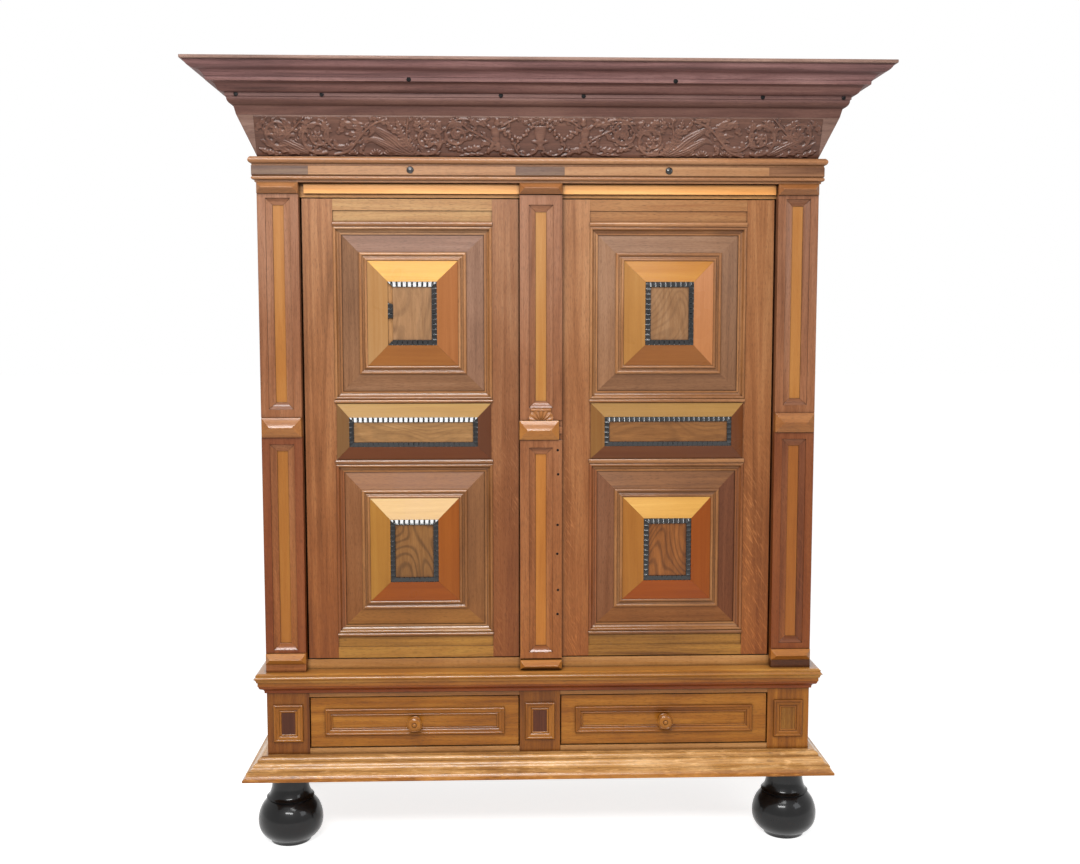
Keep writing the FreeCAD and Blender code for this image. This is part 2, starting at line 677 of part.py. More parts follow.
# Carcass of the body
def body_frame():
    groove = side_groove_x
    rails = ((body_level, body_level + side_rail_bottom),
             (body_level + (body_height - side_rail_middle) / 2,
              body_level + (body_height + side_rail_middle) / 2),
             (head_level - side_rail_top, head_level))
    rear_front = body_depth - rear_post_depth
    tongue_x = (groove, groove + side_panel_thickness)
    fields = ((rails[0][1], rails[1][0]), (rails[1][1], rails[2][0]))

    post = slab((post_inner, half_width), (pilaster_thickness, post_back), (body_level, head_level))
    rear_post = slab((half_width - rear_post_width, half_width), (rear_front, body_depth),
                     (body_level, head_level))
    rebate = slab((half_width - rear_post_width, half_width - rear_post_width + back_rebate),
                  (back_plane, body_depth), (body_level, head_level))
    cuts, rear_cuts = [], [rebate]
    for low, high in fields:
        groove_z = (low - side_groove_depth, high + side_groove_depth)
        cuts.append(slab(tongue_x, (post_back - side_groove_depth, post_back), groove_z))
        rear_cuts.append(slab(tongue_x, (rear_front, rear_front + side_groove_depth), groove_z))
    deep = tenon_length + fit_gap
    for low, high in rails:
        mortise_z = (low + tenon_shoulder, high - tenon_shoulder)
        cuts.append(slab(tongue_x, (post_back - deep, post_back), mortise_z))
        rear_cuts.append(slab(tongue_x, (rear_front, rear_front + deep), mortise_z))

    # sill and head rails of the door opening, tenoned into the front posts
    rail_y = (door_setback, post_back)
    tenon_y = (door_setback + panel_setback, door_setback + panel_setback + panel_thickness)
    sill_z, head_z = (body_level, sill_top), (head_bottom, head_level)
    front_rails = []
    for low, high in (sill_z, head_z):
        tenon_z = (low + tenon_shoulder, high - tenon_shoulder)
        reach = post_inner + tenon_length
        rail = fused([slab((-post_inner, post_inner), rail_y, (low, high)),
                      slab((-reach, reach), tenon_y, tenon_z)])
        cuts.append(slab((post_inner, post_inner + deep), tenon_y, tenon_z))
        front_rails.append(rail)
    save("front_posts", both_sides([post.cut(cuts)]))
    save("rear_posts", both_sides([rear_post.cut(rear_cuts)]))

    # sockets and holes for the door pins and the slide bolts
    plates = []
    length, width, thick = socket_plate
    for way in (-1, 1):
        for index, level, up in ((0, sill_top, -1), (1, head_bottom, 1)):
            x = way * pivot_x
            plate = slab((x - length / 2, x + length / 2), (pivot_y - width / 2, pivot_y + width / 2),
                         (level, level + up * thick))
            deep = pin_reach + blind_hole_gap
            low = min(level, level + up * deep)
            bore = Part.makeCylinder(pin_radius + pin_bore_clearance, deep,
                                     Vector(x, pivot_y, low))
            hole = Part.makeCylinder(pin_radius + socket_hole_clearance, deep,
                                     Vector(x, pivot_y, low))
            front_rails[index] = front_rails[index].cut([plate, hole])
            plates.append(plate.cut(bore))
    bolt_x = left_meeting - slide_bolt_inset
    half = slide_bolt_size[0] / 2 + bolt_hole_clearance
    bolt_y = (door_back + slide_bolt_seat - bolt_hole_clearance,
              door_back + slide_bolt_seat + slide_bolt_size[1] + bolt_hole_clearance)
    deep = slide_bolt_throw + blind_hole_gap
    for index, level, up in ((0, sill_top, -1), (1, head_bottom, 1)):
        hole = slab((bolt_x - half, bolt_x + half), bolt_y, (level, level + up * deep))
        front_rails[index] = front_rails[index].cut(hole)
    save("front_rails", front_rails)
    save("pivot_sockets", plates)

    # side rails with tenons and panel grooves
    side_rails = []
    run = (post_back, rear_front)
    for index, (low, high) in enumerate(rails):
        tenon = slab(tongue_x, (run[0] - tenon_length, run[1] + tenon_length),
                     (low + tenon_shoulder, high - tenon_shoulder))
        rail = fused([slab((side_inner, half_width), run, (low, high)), tenon])
        if index < 2:
            rail = rail.cut(slab(tongue_x, run, (high - side_groove_depth, high)))
        if index > 0:
            rail = rail.cut(slab(tongue_x, run, (low, low + side_groove_depth)))
        side_rails.append(rail)
    save("side_rails", both_sides(side_rails))

    side_panels = []
    tuck = side_groove_depth - fit_gap
    for low, high in fields:
        board = slab(tongue_x, (run[0] - tuck, run[1] + tuck), (low - tuck, high + tuck))
        ends = []
        for x, inset in ((tongue_x[1], side_field_gap),
                         (tongue_x[1] + side_field_proud, side_field_margin)):
            y0, y1, z0, z1 = run[0] + inset, run[1] - inset, low + inset, high - inset
            ends.append([Vector(x, y0, z0), Vector(x, y1, z0), Vector(x, y1, z1),
                         Vector(x, y0, z1)])
        side_panels.append(fused([board, frustum(*ends)]))
    save("side_panels", both_sides(side_panels))

    back_boards(half_width - rear_post_width + back_rebate)

    corner = both_sides([rear_post])
    boards = []
    for low in (body_level + floor_board_rise,
                head_level - ceiling_drop - floor_board_thickness):
        board = slab((-side_inner, side_inner), (post_back, back_plane),
                     (low, low + floor_board_thickness))
        boards.append(board.cut(corner))
    save("body_boards", boards)

    shelves, battens = [], []
    gap = shelf_side_gap
    posts = slab((half_width - rear_post_width - gap, half_width),
                 (rear_front - gap, body_depth), (body_level, head_level))
    for i in range(shelf_count):
        low = body_level + shelf_first_level + i * shelf_pitch
        shelf = slab((-side_inner + gap, side_inner - gap), (shelf_setback, back_plane),
                     (low, low + shelf_thickness))
        shelves.append(shelf.cut(both_sides([posts])))
        battens.append(slab((side_inner - batten_size, side_inner), run, (low - batten_size, low)))
    save("shelves", shelves)
    save("shelf_battens", both_sides(battens))


def back_boards(half):
    """Upright boards with a tongue on one edge and a groove on the other."""
    width = 2 * half / back_board_count
    third = back_board_thickness / 3
    boards = []
    for i in range(back_board_count):
        x0, x1 = -half + i * width, -half + (i + 1) * width
        points = [(x0, 0), (x1, 0)]
        if i < back_board_count - 1:
            points += [(x1, third), (x1 + back_tongue, third), (x1 + back_tongue, 2 * third),
                       (x1, 2 * third)]
        points += [(x1, 3 * third), (x0, 3 * third)]
        if i > 0:
            deep = back_tongue + fit_gap
            points += [(x0, 2 * third), (x0 + deep, 2 * third), (x0 + deep, third), (x0, third)]
        corners = [Vector(x, back_plane + y, body_level) for x, y in points]
        face = Part.Face(Part.makePolygon(corners + corners[:1]))
        boards.append(face.extrude(Vector(0, 0, body_height)))
    save("back_boards", boards)


# Pilasters and inlays
def block_levels(rise):
    """Foot and top of a middle block whose middle stands rise above the body's foot."""
    middle = body_level + rise
    return (middle - middle_block_height / 2, middle + middle_block_height / 2)


def outer_pilasters():
    right_xs = (post_inner, half_width)
    left_xs = (-half_width, -post_inner)
    low_z = (block_bottom, block_bottom + block_height)
    shafts, strips, blocks = [], [], []
    for xs, rise, panel_ends in ((left_xs, left_block_rise, left_panel_ends),
                                 (right_xs, right_block_rise, right_panel_ends)):
        middle_z = block_levels(rise)
        lengths_z = ((low_z[1], middle_z[0]), (middle_z[1], top_block_bottom))
        for zs, ends in zip(lengths_z, panel_ends):
            pieces, strip = shaft(xs, zs, ends, pilaster_thickness)
            shafts += pieces
            strips.append(strip)
        shafts.append(slab(xs, (-plinth_proud, pilaster_thickness), (body_level, block_bottom)))
        blocks.append(hipped_block(xs, low_z, pilaster_thickness))
        blocks.append(hipped_block((xs[0] + middle_block_inset, xs[1] - middle_block_inset), middle_z,
                                   pilaster_thickness))
        blocks.append(hipped_block(xs, (top_block_bottom, head_level), pilaster_thickness))
    save("outer_pilasters", shafts)

    # light strips on the head rail, cut back beside the pilasters and the centre block
    strip_z = (head_bottom + light_strip_rise, head_bottom + light_strip_rise + light_strip_height)
    strip_y = (door_setback - light_strip_thickness, door_setback)
    left = slab((-post_inner + light_strip_gaps[0], meeting_line), strip_y, strip_z)
    right = slab((centre_right, post_inner - light_strip_gaps[1]), strip_y, strip_z)
    save("light_inlays", strips + [left, right])

    centre_xs = (meeting_line, centre_right)
    blocks.append(hipped_block(centre_xs, (body_level, sill_top - centre_block_gap), door_setback))
    blocks.append(hipped_block(centre_xs, (top_block_bottom + centre_block_gap, head_level),
                               door_setback))
    save("pilaster_blocks", blocks)


def dovetail(xs, gap):
    """Tongue that the keyhole cover slides on, or with a gap the groove round it."""
    half = tongue_height / 2
    face = block_seat_depth
    root, tip = half + gap, half + tongue_flare + gap
    front = face - tongue_proud - gap
    level = centre_block_level
    points = [Vector(xs[0], face, level - root), Vector(xs[0], front, level - tip),
              Vector(xs[0], front, level + tip), Vector(xs[0], face, level + root)]
    return Part.Face(Part.makePolygon(points + points[:1])).extrude(Vector(xs[1] - xs[0], 0, 0))


def keyhole(depths):
    """Round hole with a slot below it, through everything between the two depths."""
    x = meeting_line + keyhole_offset
    slot_width, slot_height = keyhole_slot
    length = depths[1] - depths[0]
    hole = Part.makeCylinder(keyhole_radius, length, Vector(x, depths[0], centre_block_level),
                             Vector(0, 1, 0))
    slot = slab((x - slot_width / 2, x + slot_width / 2), depths,
                (centre_block_level - slot_height, centre_block_level))
    return hole.fuse(slot)


def centre_pilaster():
    xs = (meeting_line, centre_right)
    top = top_block_bottom - meeting_gap / 2
    middle_bottom, middle_top = block_levels(centre_block_rise)
    shafts, strips = [], []
    for zs, ends in zip(((door_bottom, middle_bottom), (middle_top, top)), centre_panel_ends):
        pieces, strip = shaft(xs, zs, ends, door_setback)
        shafts += pieces
        strips.append(strip)
    seat = fused([slab(xs, (block_seat_depth, door_setback), (middle_bottom, middle_top)),
                  dovetail(xs, 0.0)])
    seat = seat.cut(keyhole((-block_ridge_proud, door_setback)))

    # small carved shell over the foot of the upper sunk panel
    middle = (xs[0] + xs[1]) / 2
    half, low = shell_width / 2, middle_top
    shoulder = (half - shell_cap_inset, shell_height - shell_cap_drop)
    side_sag, cap_sag = shell_sags
    dome = outline((-half, 0), (half, 0), shoulder + (side_sag,),
                   (-shoulder[0], shoulder[1], cap_sag), (-half, 0, side_sag))
    dome.rotate(Vector(0, 0, 0), Vector(1, 0, 0), 90)
    dome.translate(Vector(middle, 0, low))
    shell = dome.extrude(Vector(0, -shell_proud, 0))
    save("centre_pilaster", shafts + [seat, shell])
    save("centre_inlays", strips)

    cover_x = (meeting_line - cover_overlap, meeting_line - cover_overlap + cover_width)
    cover_z = (middle_bottom + cover_end_gap, middle_top - cover_end_gap)
    cover = hipped_block(cover_x, cover_z, block_seat_depth - slide_clearance)
    groove = dovetail(cover_x, dovetail_clearance)
    save("keyhole_cover", [cover.cut(groove)])


# Doors
def door(name, side, edges, stile_widths):
    """edges and stile_widths are those at the hinges, then those at the meeting edge; side is -1
    for the left door."""
    outer, meeting = edges
    outer_open = outer - side * stile_widths[0]
    meeting_open = meeting + side * stile_widths[1]
    open_x = (min(outer_open, meeting_open), max(outer_open, meeting_open))
    opening_width = open_x[1] - open_x[0]
    panel_centre = (open_x[0] + open_x[1]) / 2
    slope_width = opening_width * slope_share
    facet_width = opening_width * facet_share
    depth = (door_setback, door_back)
    tongue_y = (door_setback + panel_setback, door_setback + panel_setback + panel_thickness)
    rails = ((door_bottom, door_bottom + bottom_rail_height),
             (door_bottom + lock_rail_bottom, door_bottom + lock_rail_bottom + lock_rail_height),
             (door_top - top_rail_height, door_top))
    fields = ((rails[0][1], rails[1][0]), (rails[1][1], rails[2][0]))

    stiles = []
    for edge, open_edge in ((outer, outer_open), (meeting, meeting_open)):
        way = 1 if edge > open_edge else -1
        stile = slab((edge, open_edge), depth, (door_bottom, door_top))
        for low, high in fields:
            stile = stile.cut(slab((open_edge, open_edge + way * panel_groove), tongue_y,
                                   (low - panel_groove, high + panel_groove)))
        for low, high in rails:
            stile = stile.cut(slab((open_edge, open_edge + way * (tenon_length + fit_gap)),
                                   tongue_y, (low + tenon_shoulder, high - tenon_shoulder)))
        stiles.append(stile)
    pin_x = side * pivot_x
    for low in (door_bottom, door_top - pin_depth):
        seat = Part.makeCylinder(pin_radius + pin_seat_clearance, pin_depth,
                                 Vector(pin_x, pivot_y, low))
        stiles[0] = stiles[0].cut(seat)
    if side > 0:
        stiles[1] = stiles[1].cut(keyhole(depth))

    bars = []
    for index, (low, high) in enumerate(rails):
        tenon = slab((open_x[0] - tenon_length, open_x[1] + tenon_length), tongue_y,
                     (low + tenon_shoulder, high - tenon_shoulder))
        bar = fused([slab(open_x, depth, (low, high)), tenon])
        if index < 2:
            bar = bar.cut(slab(open_x, tongue_y, (high - panel_groove, high)))
        if index > 0:
            bar = bar.cut(slab(open_x, tongue_y, (low, low + panel_groove)))
        bars.append(bar)
    shallow = (door_setback, door_setback + rail_band_depth)
    low_band = rails[0][1] - low_strip_height
    bars[0] = bars[0].cut(slab(open_x, shallow, (low_band - rail_band_height, low_band)))
    high_band = rails[2][0] + rail_strip_height
    bars[2] = bars[2].cut(slab(open_x, shallow, (high_band, high_band + rail_band_height)))
    save(name + "_door_frame", stiles + bars)

    # rounded strips above and below each framed panel
    drop = Vector(0, -1, 0)
    strip_tops = (rails[0][1], rails[1][0] + rail_strip_height, rails[1][1],
                  rails[2][0] + rail_strip_height)
    mouldings, panels, facets, ebony, plates = [], [], [], [], []
    for index, top in enumerate(strip_tops):
        height = rail_strip_height if index in (1, 3) else low_strip_height
        face = outline((0, 0), (0, rail_strip_proud), (height, rail_strip_proud, rail_strip_sag),
                       (height, 0))
        ends = [Vector(open_x[0], door_setback, top), Vector(open_x[1], door_setback, top)]
        mouldings += lengths(face, ends, drop)

    sunk = -panel_setback
    steps = stretched(ring_profile, (0, sunk), (ring_width, ring_rise))
    ring_face = outline((0, sunk), *steps, (ring_width, sunk))
    slope_face = outline((0, sunk), (0, ring_inner_level), (slope_width, slope_top_level),
                         (slope_width, sunk))
    steps = stretched(inner_profile, (0, slope_top_level),
                      (inner_moulding_width, inner_moulding_rise))
    inner_face = outline((0, sunk), *steps, (inner_moulding_width, sunk))
    facet_face = outline((0, sunk), (0, facet_foot_level), (facet_width, facet_top_level),
                         (facet_width, sunk))
    ebony_face = outline((0, seat_level), (0, ebony_outer_level),
                         (ebony_width, ebony_inner_level, ebony_sag), (ebony_width, seat_level))
    for low, high in fields:
        centre = (panel_centre, (low + high) / 2)
        size = (opening_width, high - low)
        tuck = panel_groove - fit_gap
        panels.append(slab((open_x[0] - tuck, open_x[1] + tuck), tongue_y, (low - tuck, high + tuck)))
        for face, width, kind in ((ring_face, ring_width, mouldings),
                                  (slope_face, slope_width, mouldings),
                                  (inner_face, inner_moulding_width, mouldings),
                                  (facet_face, facet_width, facets),
                                  (None, 0, panels),
                                  (ebony_face, ebony_width, ebony),
                                  (None, 0, plates)):
            if face is not None:
                kind += ring(face, centre, size, door_setback)
                size = (size[0] - 2 * width, size[1] - 2 * width)
                continue
            levels = (sunk, seat_level) if kind is panels else (seat_level, facet_top_level)
            kind.append(slab((centre[0] - size[0] / 2, centre[0] + size[0] / 2),
                             (door_setback - levels[0], door_setback - levels[1]),
                             (centre[1] - size[1] / 2, centre[1] + size[1] / 2)))

    # the long cushion on the lock rail
    centre = (panel_centre, (rails[1][0] + rails[1][1]) / 2 + long_cushion_rise)
    size = (opening_width - 2 * long_cushion_gap, long_cushion_height)
    face = outline((0, 0), (0, long_facet_foot), (long_facet_width, long_facet_top),
                   (long_facet_width, 0))
    facets += ring(face, centre, size, door_setback)
    size = (size[0] - 2 * long_facet_width, size[1] - 2 * long_facet_width)
    core_x = (centre[0] - size[0] / 2, centre[0] + size[0] / 2)
    core_z = (centre[1] - size[1] / 2, centre[1] + size[1] / 2)
    panels.append(slab(core_x, (door_setback - long_seat_level, door_setback), core_z))
    face = outline((0, long_seat_level), (0, long_ebony_outer_level),
                   (long_ebony_width, long_ebony_inner_level, ebony_sag),
                   (long_ebony_width, long_seat_level))
    ebony += ring(face, centre, size, door_setback)
    inset = long_ebony_width
    plates.append(slab((core_x[0] + inset, core_x[1] - inset),
                       (door_setback - long_facet_top, door_setback - long_seat_level),
                       (core_z[0] + inset, core_z[1] - inset)))

    save(name + "_door_mouldings", mouldings)
    save(name + "_door_panels", panels)
    save(name + "_door_facets", facets)
    save(name + "_door_ebony", ebony)
    save(name + "_door_plates", plates)

    length, width, thick = pin_collar
    pins = []
    for level, up in ((door_bottom, 1), (door_top, -1)):
        low = min(level - up * pin_reach, level + up * pin_depth)
        pin = Part.makeCylinder(pin_radius, pin_reach + pin_depth, Vector(pin_x, pivot_y, low))
        collar = slab((pin_x - length / 2, pin_x + length / 2),
                      (pivot_y - width / 2, pivot_y + width / 2), (level, level - up * thick))
        pins.append(fused([pin, collar]))
    save(name + "_door_pins", pins)


# Locks and bolts
def staple(xs, zs, depth, along):
    """Bridge over a bar on a door's back; along is the bar's direction, x or z."""
    outer = slab(xs, (door_back, door_back + depth), zs)
    if along == "z":
        inner = slab((xs[0] + staple_wall, xs[1] - staple_wall),
                     (door_back, door_back + depth - staple_wall), zs)
    else:
        inner = slab(xs, (door_back, door_back + depth - staple_wall),
                     (zs[0] + staple_wall, zs[1] - staple_wall))
    return outer.cut(inner)


def lock():
    width, height, depth = lock_size
    x0 = meeting_line + lock_inset
    low = centre_block_level - height / 2
    case = slab((x0, x0 + width), (door_back, door_back + depth), (low, low + height))
    cavity = slab((x0 + lock_wall, x0 + width - lock_wall), (door_back, door_back + depth - lock_wall),
                  (low + lock_wall, low + height - lock_wall))
    bar_length, bar_height, bar_depth = lock_bolt_size
    bar_low = centre_block_level + lock_bolt_rise - bar_height / 2
    bar_y = (door_back + lock_bolt_setback, door_back + lock_bolt_setback + bar_depth)
    gap = iron_clearance
    slot = slab((x0, x0 + lock_wall), (bar_y[0] - gap, bar_y[1] + gap),
                (bar_low - gap, bar_low + bar_height + gap))
    save("lock_case", [case.cut([cavity, slot])])
    tip = x0 - lock_bolt_nose
    save("lock_bolt", [slab((tip, tip + bar_length), bar_y, (bar_low, bar_low + bar_height))])

    # keeper for the lock bolt and staples for the slide bolts, all on the left door's back
    depth = lock_bolt_setback + bar_depth + gap + staple_wall
    right = left_meeting - keeper_inset
    reach = gap + staple_wall
    irons = [staple((right - keeper_length, right),
                    (bar_low - reach, bar_low + bar_height + reach), depth, "x")]
    bar_width, bar_depth, bar_length = slide_bolt_size
    x = left_meeting - slide_bolt_inset
    half = bar_width / 2
    bar_y = (door_back + slide_bolt_seat, door_back + slide_bolt_seat + bar_depth)
    for name, level, up in (("upper", door_top, -1), ("lower", door_bottom, 1)):
        end = level + up * slide_bolt_end
        bar = slab((x - half, x + half), bar_y, (end, end + up * bar_length))
        places = [end + up * place for place in staple_places]
        knob_level = (places[0] + places[1]) / 2
        knob = Part.makeCylinder(slide_bolt_knob_radius, slide_bolt_knob_length,
                                 Vector(x, bar_y[0], knob_level), Vector(0, 1, 0))
        save(name + "_bolt", [fused([bar, knob])])
        for place in places:
            irons.append(staple((x - half - reach, x + half + reach),
                                (place - staple_length / 2, place + staple_length / 2),
                                slide_bolt_seat + bar_depth + gap + staple_wall, "z"))
    save("left_door_irons", irons)


# Cornice
def cornice():
    low, top, width = head_level, frieze_level, architrave_width
    band = architrave_reach - band_setback
    bead_top = low + bead_height
    steps = stretched(bead_profile, (0, low), (band, bead_top - low))
    steps += stretched(astragal_profile, (band, bead_top),
                       (band_setback - astragal_sag, top - bead_top))
    save("architrave", around(outline((-width, low), *steps, (-width, top))))

    ends = half_width + band
    levels = (low + band_level, low + band_level + band_strip_height)
    depth = (-band - band_strip_thickness, -band)
    marks = (-ends, -band_dark_end, -band_dark_half, band_dark_half, band_dark_end, ends)
    save("architrave_band", [slab(pair, depth, levels) for pair in zip(marks, marks[1:])])

    bottom, high = frieze_bottom_reach, frieze_top_reach
    thick = frieze_board_thickness
    face = outline((bottom - thick, top), (bottom, top), (high, cornice_level),
                   (high - thick, cornice_level))
    # board that closes the cornice at the back, stepped to meet the returns from inside
    points = ((width, head_level), (width, top), (thick - bottom, top), (thick - high, cornice_level),
              (-lower_cornice_inner, cornice_level), (-lower_cornice_inner, crown_level),
              (-crown_inner, crown_level), (-crown_inner, top_level))
    right = [Vector(half_width - u, body_depth, v) for u, v in points]
    left = [Vector(-point.x, point.y, point.z) for point in reversed(right)]
    closing = Part.Face(Part.makePolygon(right + left + right[:1]))
    closing = closing.extrude(Vector(0, -back_board_thickness, 0))
    save("frieze_boards", around(face) + [closing])

    slope = Vector(high - bottom, cornice_level - top, 0)
    way = Vector(slope).normalize()
    out = Vector(way.y, -way.x, 0)
    foot = Vector(bottom, top, 0) + way * carving_margin
    head = Vector(bottom, top, 0) + way * (slope.Length - carving_margin)
    board = outline((foot.x, foot.y), tuple(foot + out * carving_thickness)[:2],
                    tuple(head + out * carving_thickness)[:2], (head.x, head.y))
    ends = [Vector(-carving_half_length, 0, 0), Vector(carving_half_length, 0, 0)]
    save("frieze_carving", lengths(board, ends, Vector(0, 0, 1)))

    low, inner = cornice_level, lower_cornice_inner
    steps = stretched(lower_cornice_profile, (high, low),
                      (lower_cornice_reach - high, lower_cornice_height))
    face = outline((inner, low), *steps, (inner, crown_level))
    save("lower_cornice", around(face))

    low, inner = crown_level, crown_inner
    start = lower_cornice_reach + crown_setback
    steps = stretched(crown_profile, (start, low), (crown_reach - start, crown_height))
    face = outline((inner, low), *steps, (inner, top_level))
    save("crown_moulding", around(face))

    low, top = top_level, top_level + top_board_thickness
    inner = cornice_reach - top_lip_width
    face = outline((inner, low), (cornice_reach - top_lip_bevel, low),
                   (cornice_reach, low + top_lip_bevel), (cornice_reach, top), (inner, top))
    lip = around(face)
    half = half_width + inner
    width = 2 * half / top_board_count
    boards = [slab((-half + i * width, -half + (i + 1) * width), (-inner, body_depth), (low, top))
              for i in range(top_board_count)]
    save("cornice_top", lip + boards)


rear_foot_centre = feet()
base_case(rear_foot_centre)
drawer("left", -1)
drawer("right", 1)
body_frame()
outer_pilasters()
centre_pilaster()
door("left", -1, (-door_edge, left_meeting), left_stile_widths)
door("right", 1, (door_edge, meeting_line), right_stile_widths)
lock()
cornice()
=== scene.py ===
import bpy
import bmesh
import json
import math
import numpy as np
from mathutils.bvhtree import BVHTree
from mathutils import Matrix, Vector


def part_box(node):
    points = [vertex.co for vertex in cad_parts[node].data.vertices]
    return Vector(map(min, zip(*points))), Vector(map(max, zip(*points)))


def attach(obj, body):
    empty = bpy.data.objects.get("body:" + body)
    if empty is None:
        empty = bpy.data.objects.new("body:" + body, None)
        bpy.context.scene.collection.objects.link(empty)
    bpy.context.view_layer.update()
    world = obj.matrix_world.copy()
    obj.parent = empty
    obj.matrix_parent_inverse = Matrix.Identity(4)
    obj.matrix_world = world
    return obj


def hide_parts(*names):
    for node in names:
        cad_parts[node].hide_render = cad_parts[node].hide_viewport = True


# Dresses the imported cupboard: every board is split out of its CAD node so that its grain runs along it,
# and turned, rippled and carved pieces are worked out as surfaces.

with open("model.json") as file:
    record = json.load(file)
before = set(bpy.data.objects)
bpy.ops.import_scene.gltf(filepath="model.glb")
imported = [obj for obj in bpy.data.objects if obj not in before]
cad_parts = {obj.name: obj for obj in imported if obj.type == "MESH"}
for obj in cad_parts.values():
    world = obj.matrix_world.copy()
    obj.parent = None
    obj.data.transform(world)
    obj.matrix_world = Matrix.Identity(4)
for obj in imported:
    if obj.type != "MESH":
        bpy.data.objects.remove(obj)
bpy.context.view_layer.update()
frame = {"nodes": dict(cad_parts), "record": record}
bodyOf = {node: body for body, nodes in frame["record"]["behaviour"]["bodies"].items() for node in nodes}
slotOf = {part["node"]: part["material_slot"] for part in frame["record"]["subparts"]}
print("frame loaded:", len(bodyOf), "nodes")


# Small helpers for shader nodes

def paint(red, green, blue):
    # a colour on the 0 to 255 scale, as linear light
    return tuple((value / 255) ** 2.2 for value in (red, green, blue)) + (1.0,)


def newMaterial(name):
    material = bpy.data.materials.new(name)
    material.use_nodes = True
    return material, material.node_tree, material.node_tree.nodes["Principled BSDF"]


def fill(tree, made, inputs):
    # gives the sockets of a shader node a value or another node's output
    for socket, value in inputs.items():
        if isinstance(value, bpy.types.NodeSocket):
            tree.links.new(value, made.inputs[socket])
        else:
            made.inputs[socket].default_value = value


def addNode(tree, kind, inputs=None, **settings):
    made = tree.nodes.new("ShaderNode" + kind)
    for name, value in settings.items():
        setattr(made, name, value)
    fill(tree, made, inputs or {})
    return made


def calc(tree, operation, *values):
    return addNode(tree, "Math", dict(enumerate(values)), operation=operation).outputs[0]


def remap(tree, value, fromLow, fromHigh, toLow=0.0, toHigh=1.0):
    # one range of numbers laid over another, held at its ends
    made = addNode(tree, "MapRange", {"Value": value, "From Min": fromLow, "From Max": fromHigh,
                                      "To Min": toLow, "To Max": toHigh})
    return made.outputs[0]


def sway(tree, value, share, base):
    # base plus share times how far value lies above a half
    return calc(tree, "MULTIPLY_ADD", calc(tree, "SUBTRACT", value, 0.5), share, base)


def blendColour(tree, factor, first, second, mode="MIX"):
    # sockets 6 and 7 of a Mix node are its two colours
    made = addNode(tree, "Mix", {0: factor, 6: first, 7: second}, data_type="RGBA", blend_type=mode)
    return made.outputs[2]


def noise(tree, vector, scale, detail=2.0, roughness=0.5, distortion=0.0):
    # noise along a vector that is stretched by scale, a number or one number for each direction
    if not isinstance(scale, (int, float)):
        vector = addNode(tree, "VectorMath", {0: vector, 1: scale}, operation="MULTIPLY").outputs[0]
        scale = 1.0
    made = addNode(tree, "TexNoise", {"Vector": vector, "Scale": scale, "Detail": detail,
                                      "Roughness": roughness, "Distortion": distortion})
    return made.outputs["Fac"]


def crevices(tree, distance):
    # how far a spot is shut in by what stands round it, from 0 to 1; the woods darken corners and creases by
    # it as painted shade
    made = addNode(tree, "AmbientOcclusion", {"Distance": distance}, samples=6)
    return remap(tree, made.outputs["AO"], 0.35, 0.92, 1.0, 0.0)


def addBump(tree, shader, strength, depth, relief):
    bump = addNode(tree, "Bump", {"Strength": strength, "Distance": depth, "Height": relief})
    fill(tree, shader, {"Normal": bump.outputs[0]})


# Materials

woodBase = {"along": 1.6, "across": 38, "wave": 0.9, "contrast": 1.3, "tone": 0.14, "patchy": 0.55,
            "pores": 0.5, "flecks": 0.0, "veins": 0.0, "wear": 0.0, "carved": 0.0, "rough": 0.34,
            "specular": 0.16, "coat": 0.1, "shine": 0.0, "coatRough": 0.14, "dirt": 0.8, "reach": 0.011,
            "bump": 0.25, "upper": (1.0, 1.0, 1.0), "fade": (0.55, 1.6), "soil": (40, 22, 13)}
# reach, in metres, and the amount before it set the painted shade in corners and creases; its colour is the
# last one, which also colours pores, veins and stains
# shine: more of the coat on faces that look up, which puts the sheen where the light from above falls
# upper: what the colour is multiplied by above the second height of fade, coming in from the first; partly
# the wood's own colour, partly painted light and shade that change with height
grainShape = {
    # the noises that are the same on every wood: how fine they are, and between which values masks come in
    "streak": (6.0, 0.58), "fibre": (11.0, 420.0, 420.0), "fibreShare": 0.35,
    "pore": (70.0, 1500.0, 1500.0), "poreEdges": (0.56, 0.7), "patch": 3.1,
    "rayLean": -0.5, "raySize": (0.03, 0.0026, 0.03), "rayEdges": (0.58, 0.66), "rayPlace": (1.5, 9.0, 9.0),
    "rayPlaceEdges": (0.38, 0.55), "rayHeights": (1.25, 1.0), "rayPale": 1.15,
    "veinPlace": (3.0, 6.0, 6.0), "veinTurns": 150.0, "veinFray": 1.6, "veinEdges": (0.0, 1.2),
    "worn": (24.0, 60.0, 120.0), "wornEdges": (0.54, 0.7), "stainEdges": (0.42, 0.3), "wornPale": 1.12,
    "shineEdges": (0.1, 0.4), "dullShare": 0.35, "dirtDull": 0.3, "bumpDepth": 0.0006}


def wood(dark, mid, light, **other):
    # the look of one wood: its three colours and what differs from the base
    return {**woodBase, "dark": dark, "mid": mid, "light": light, **other}


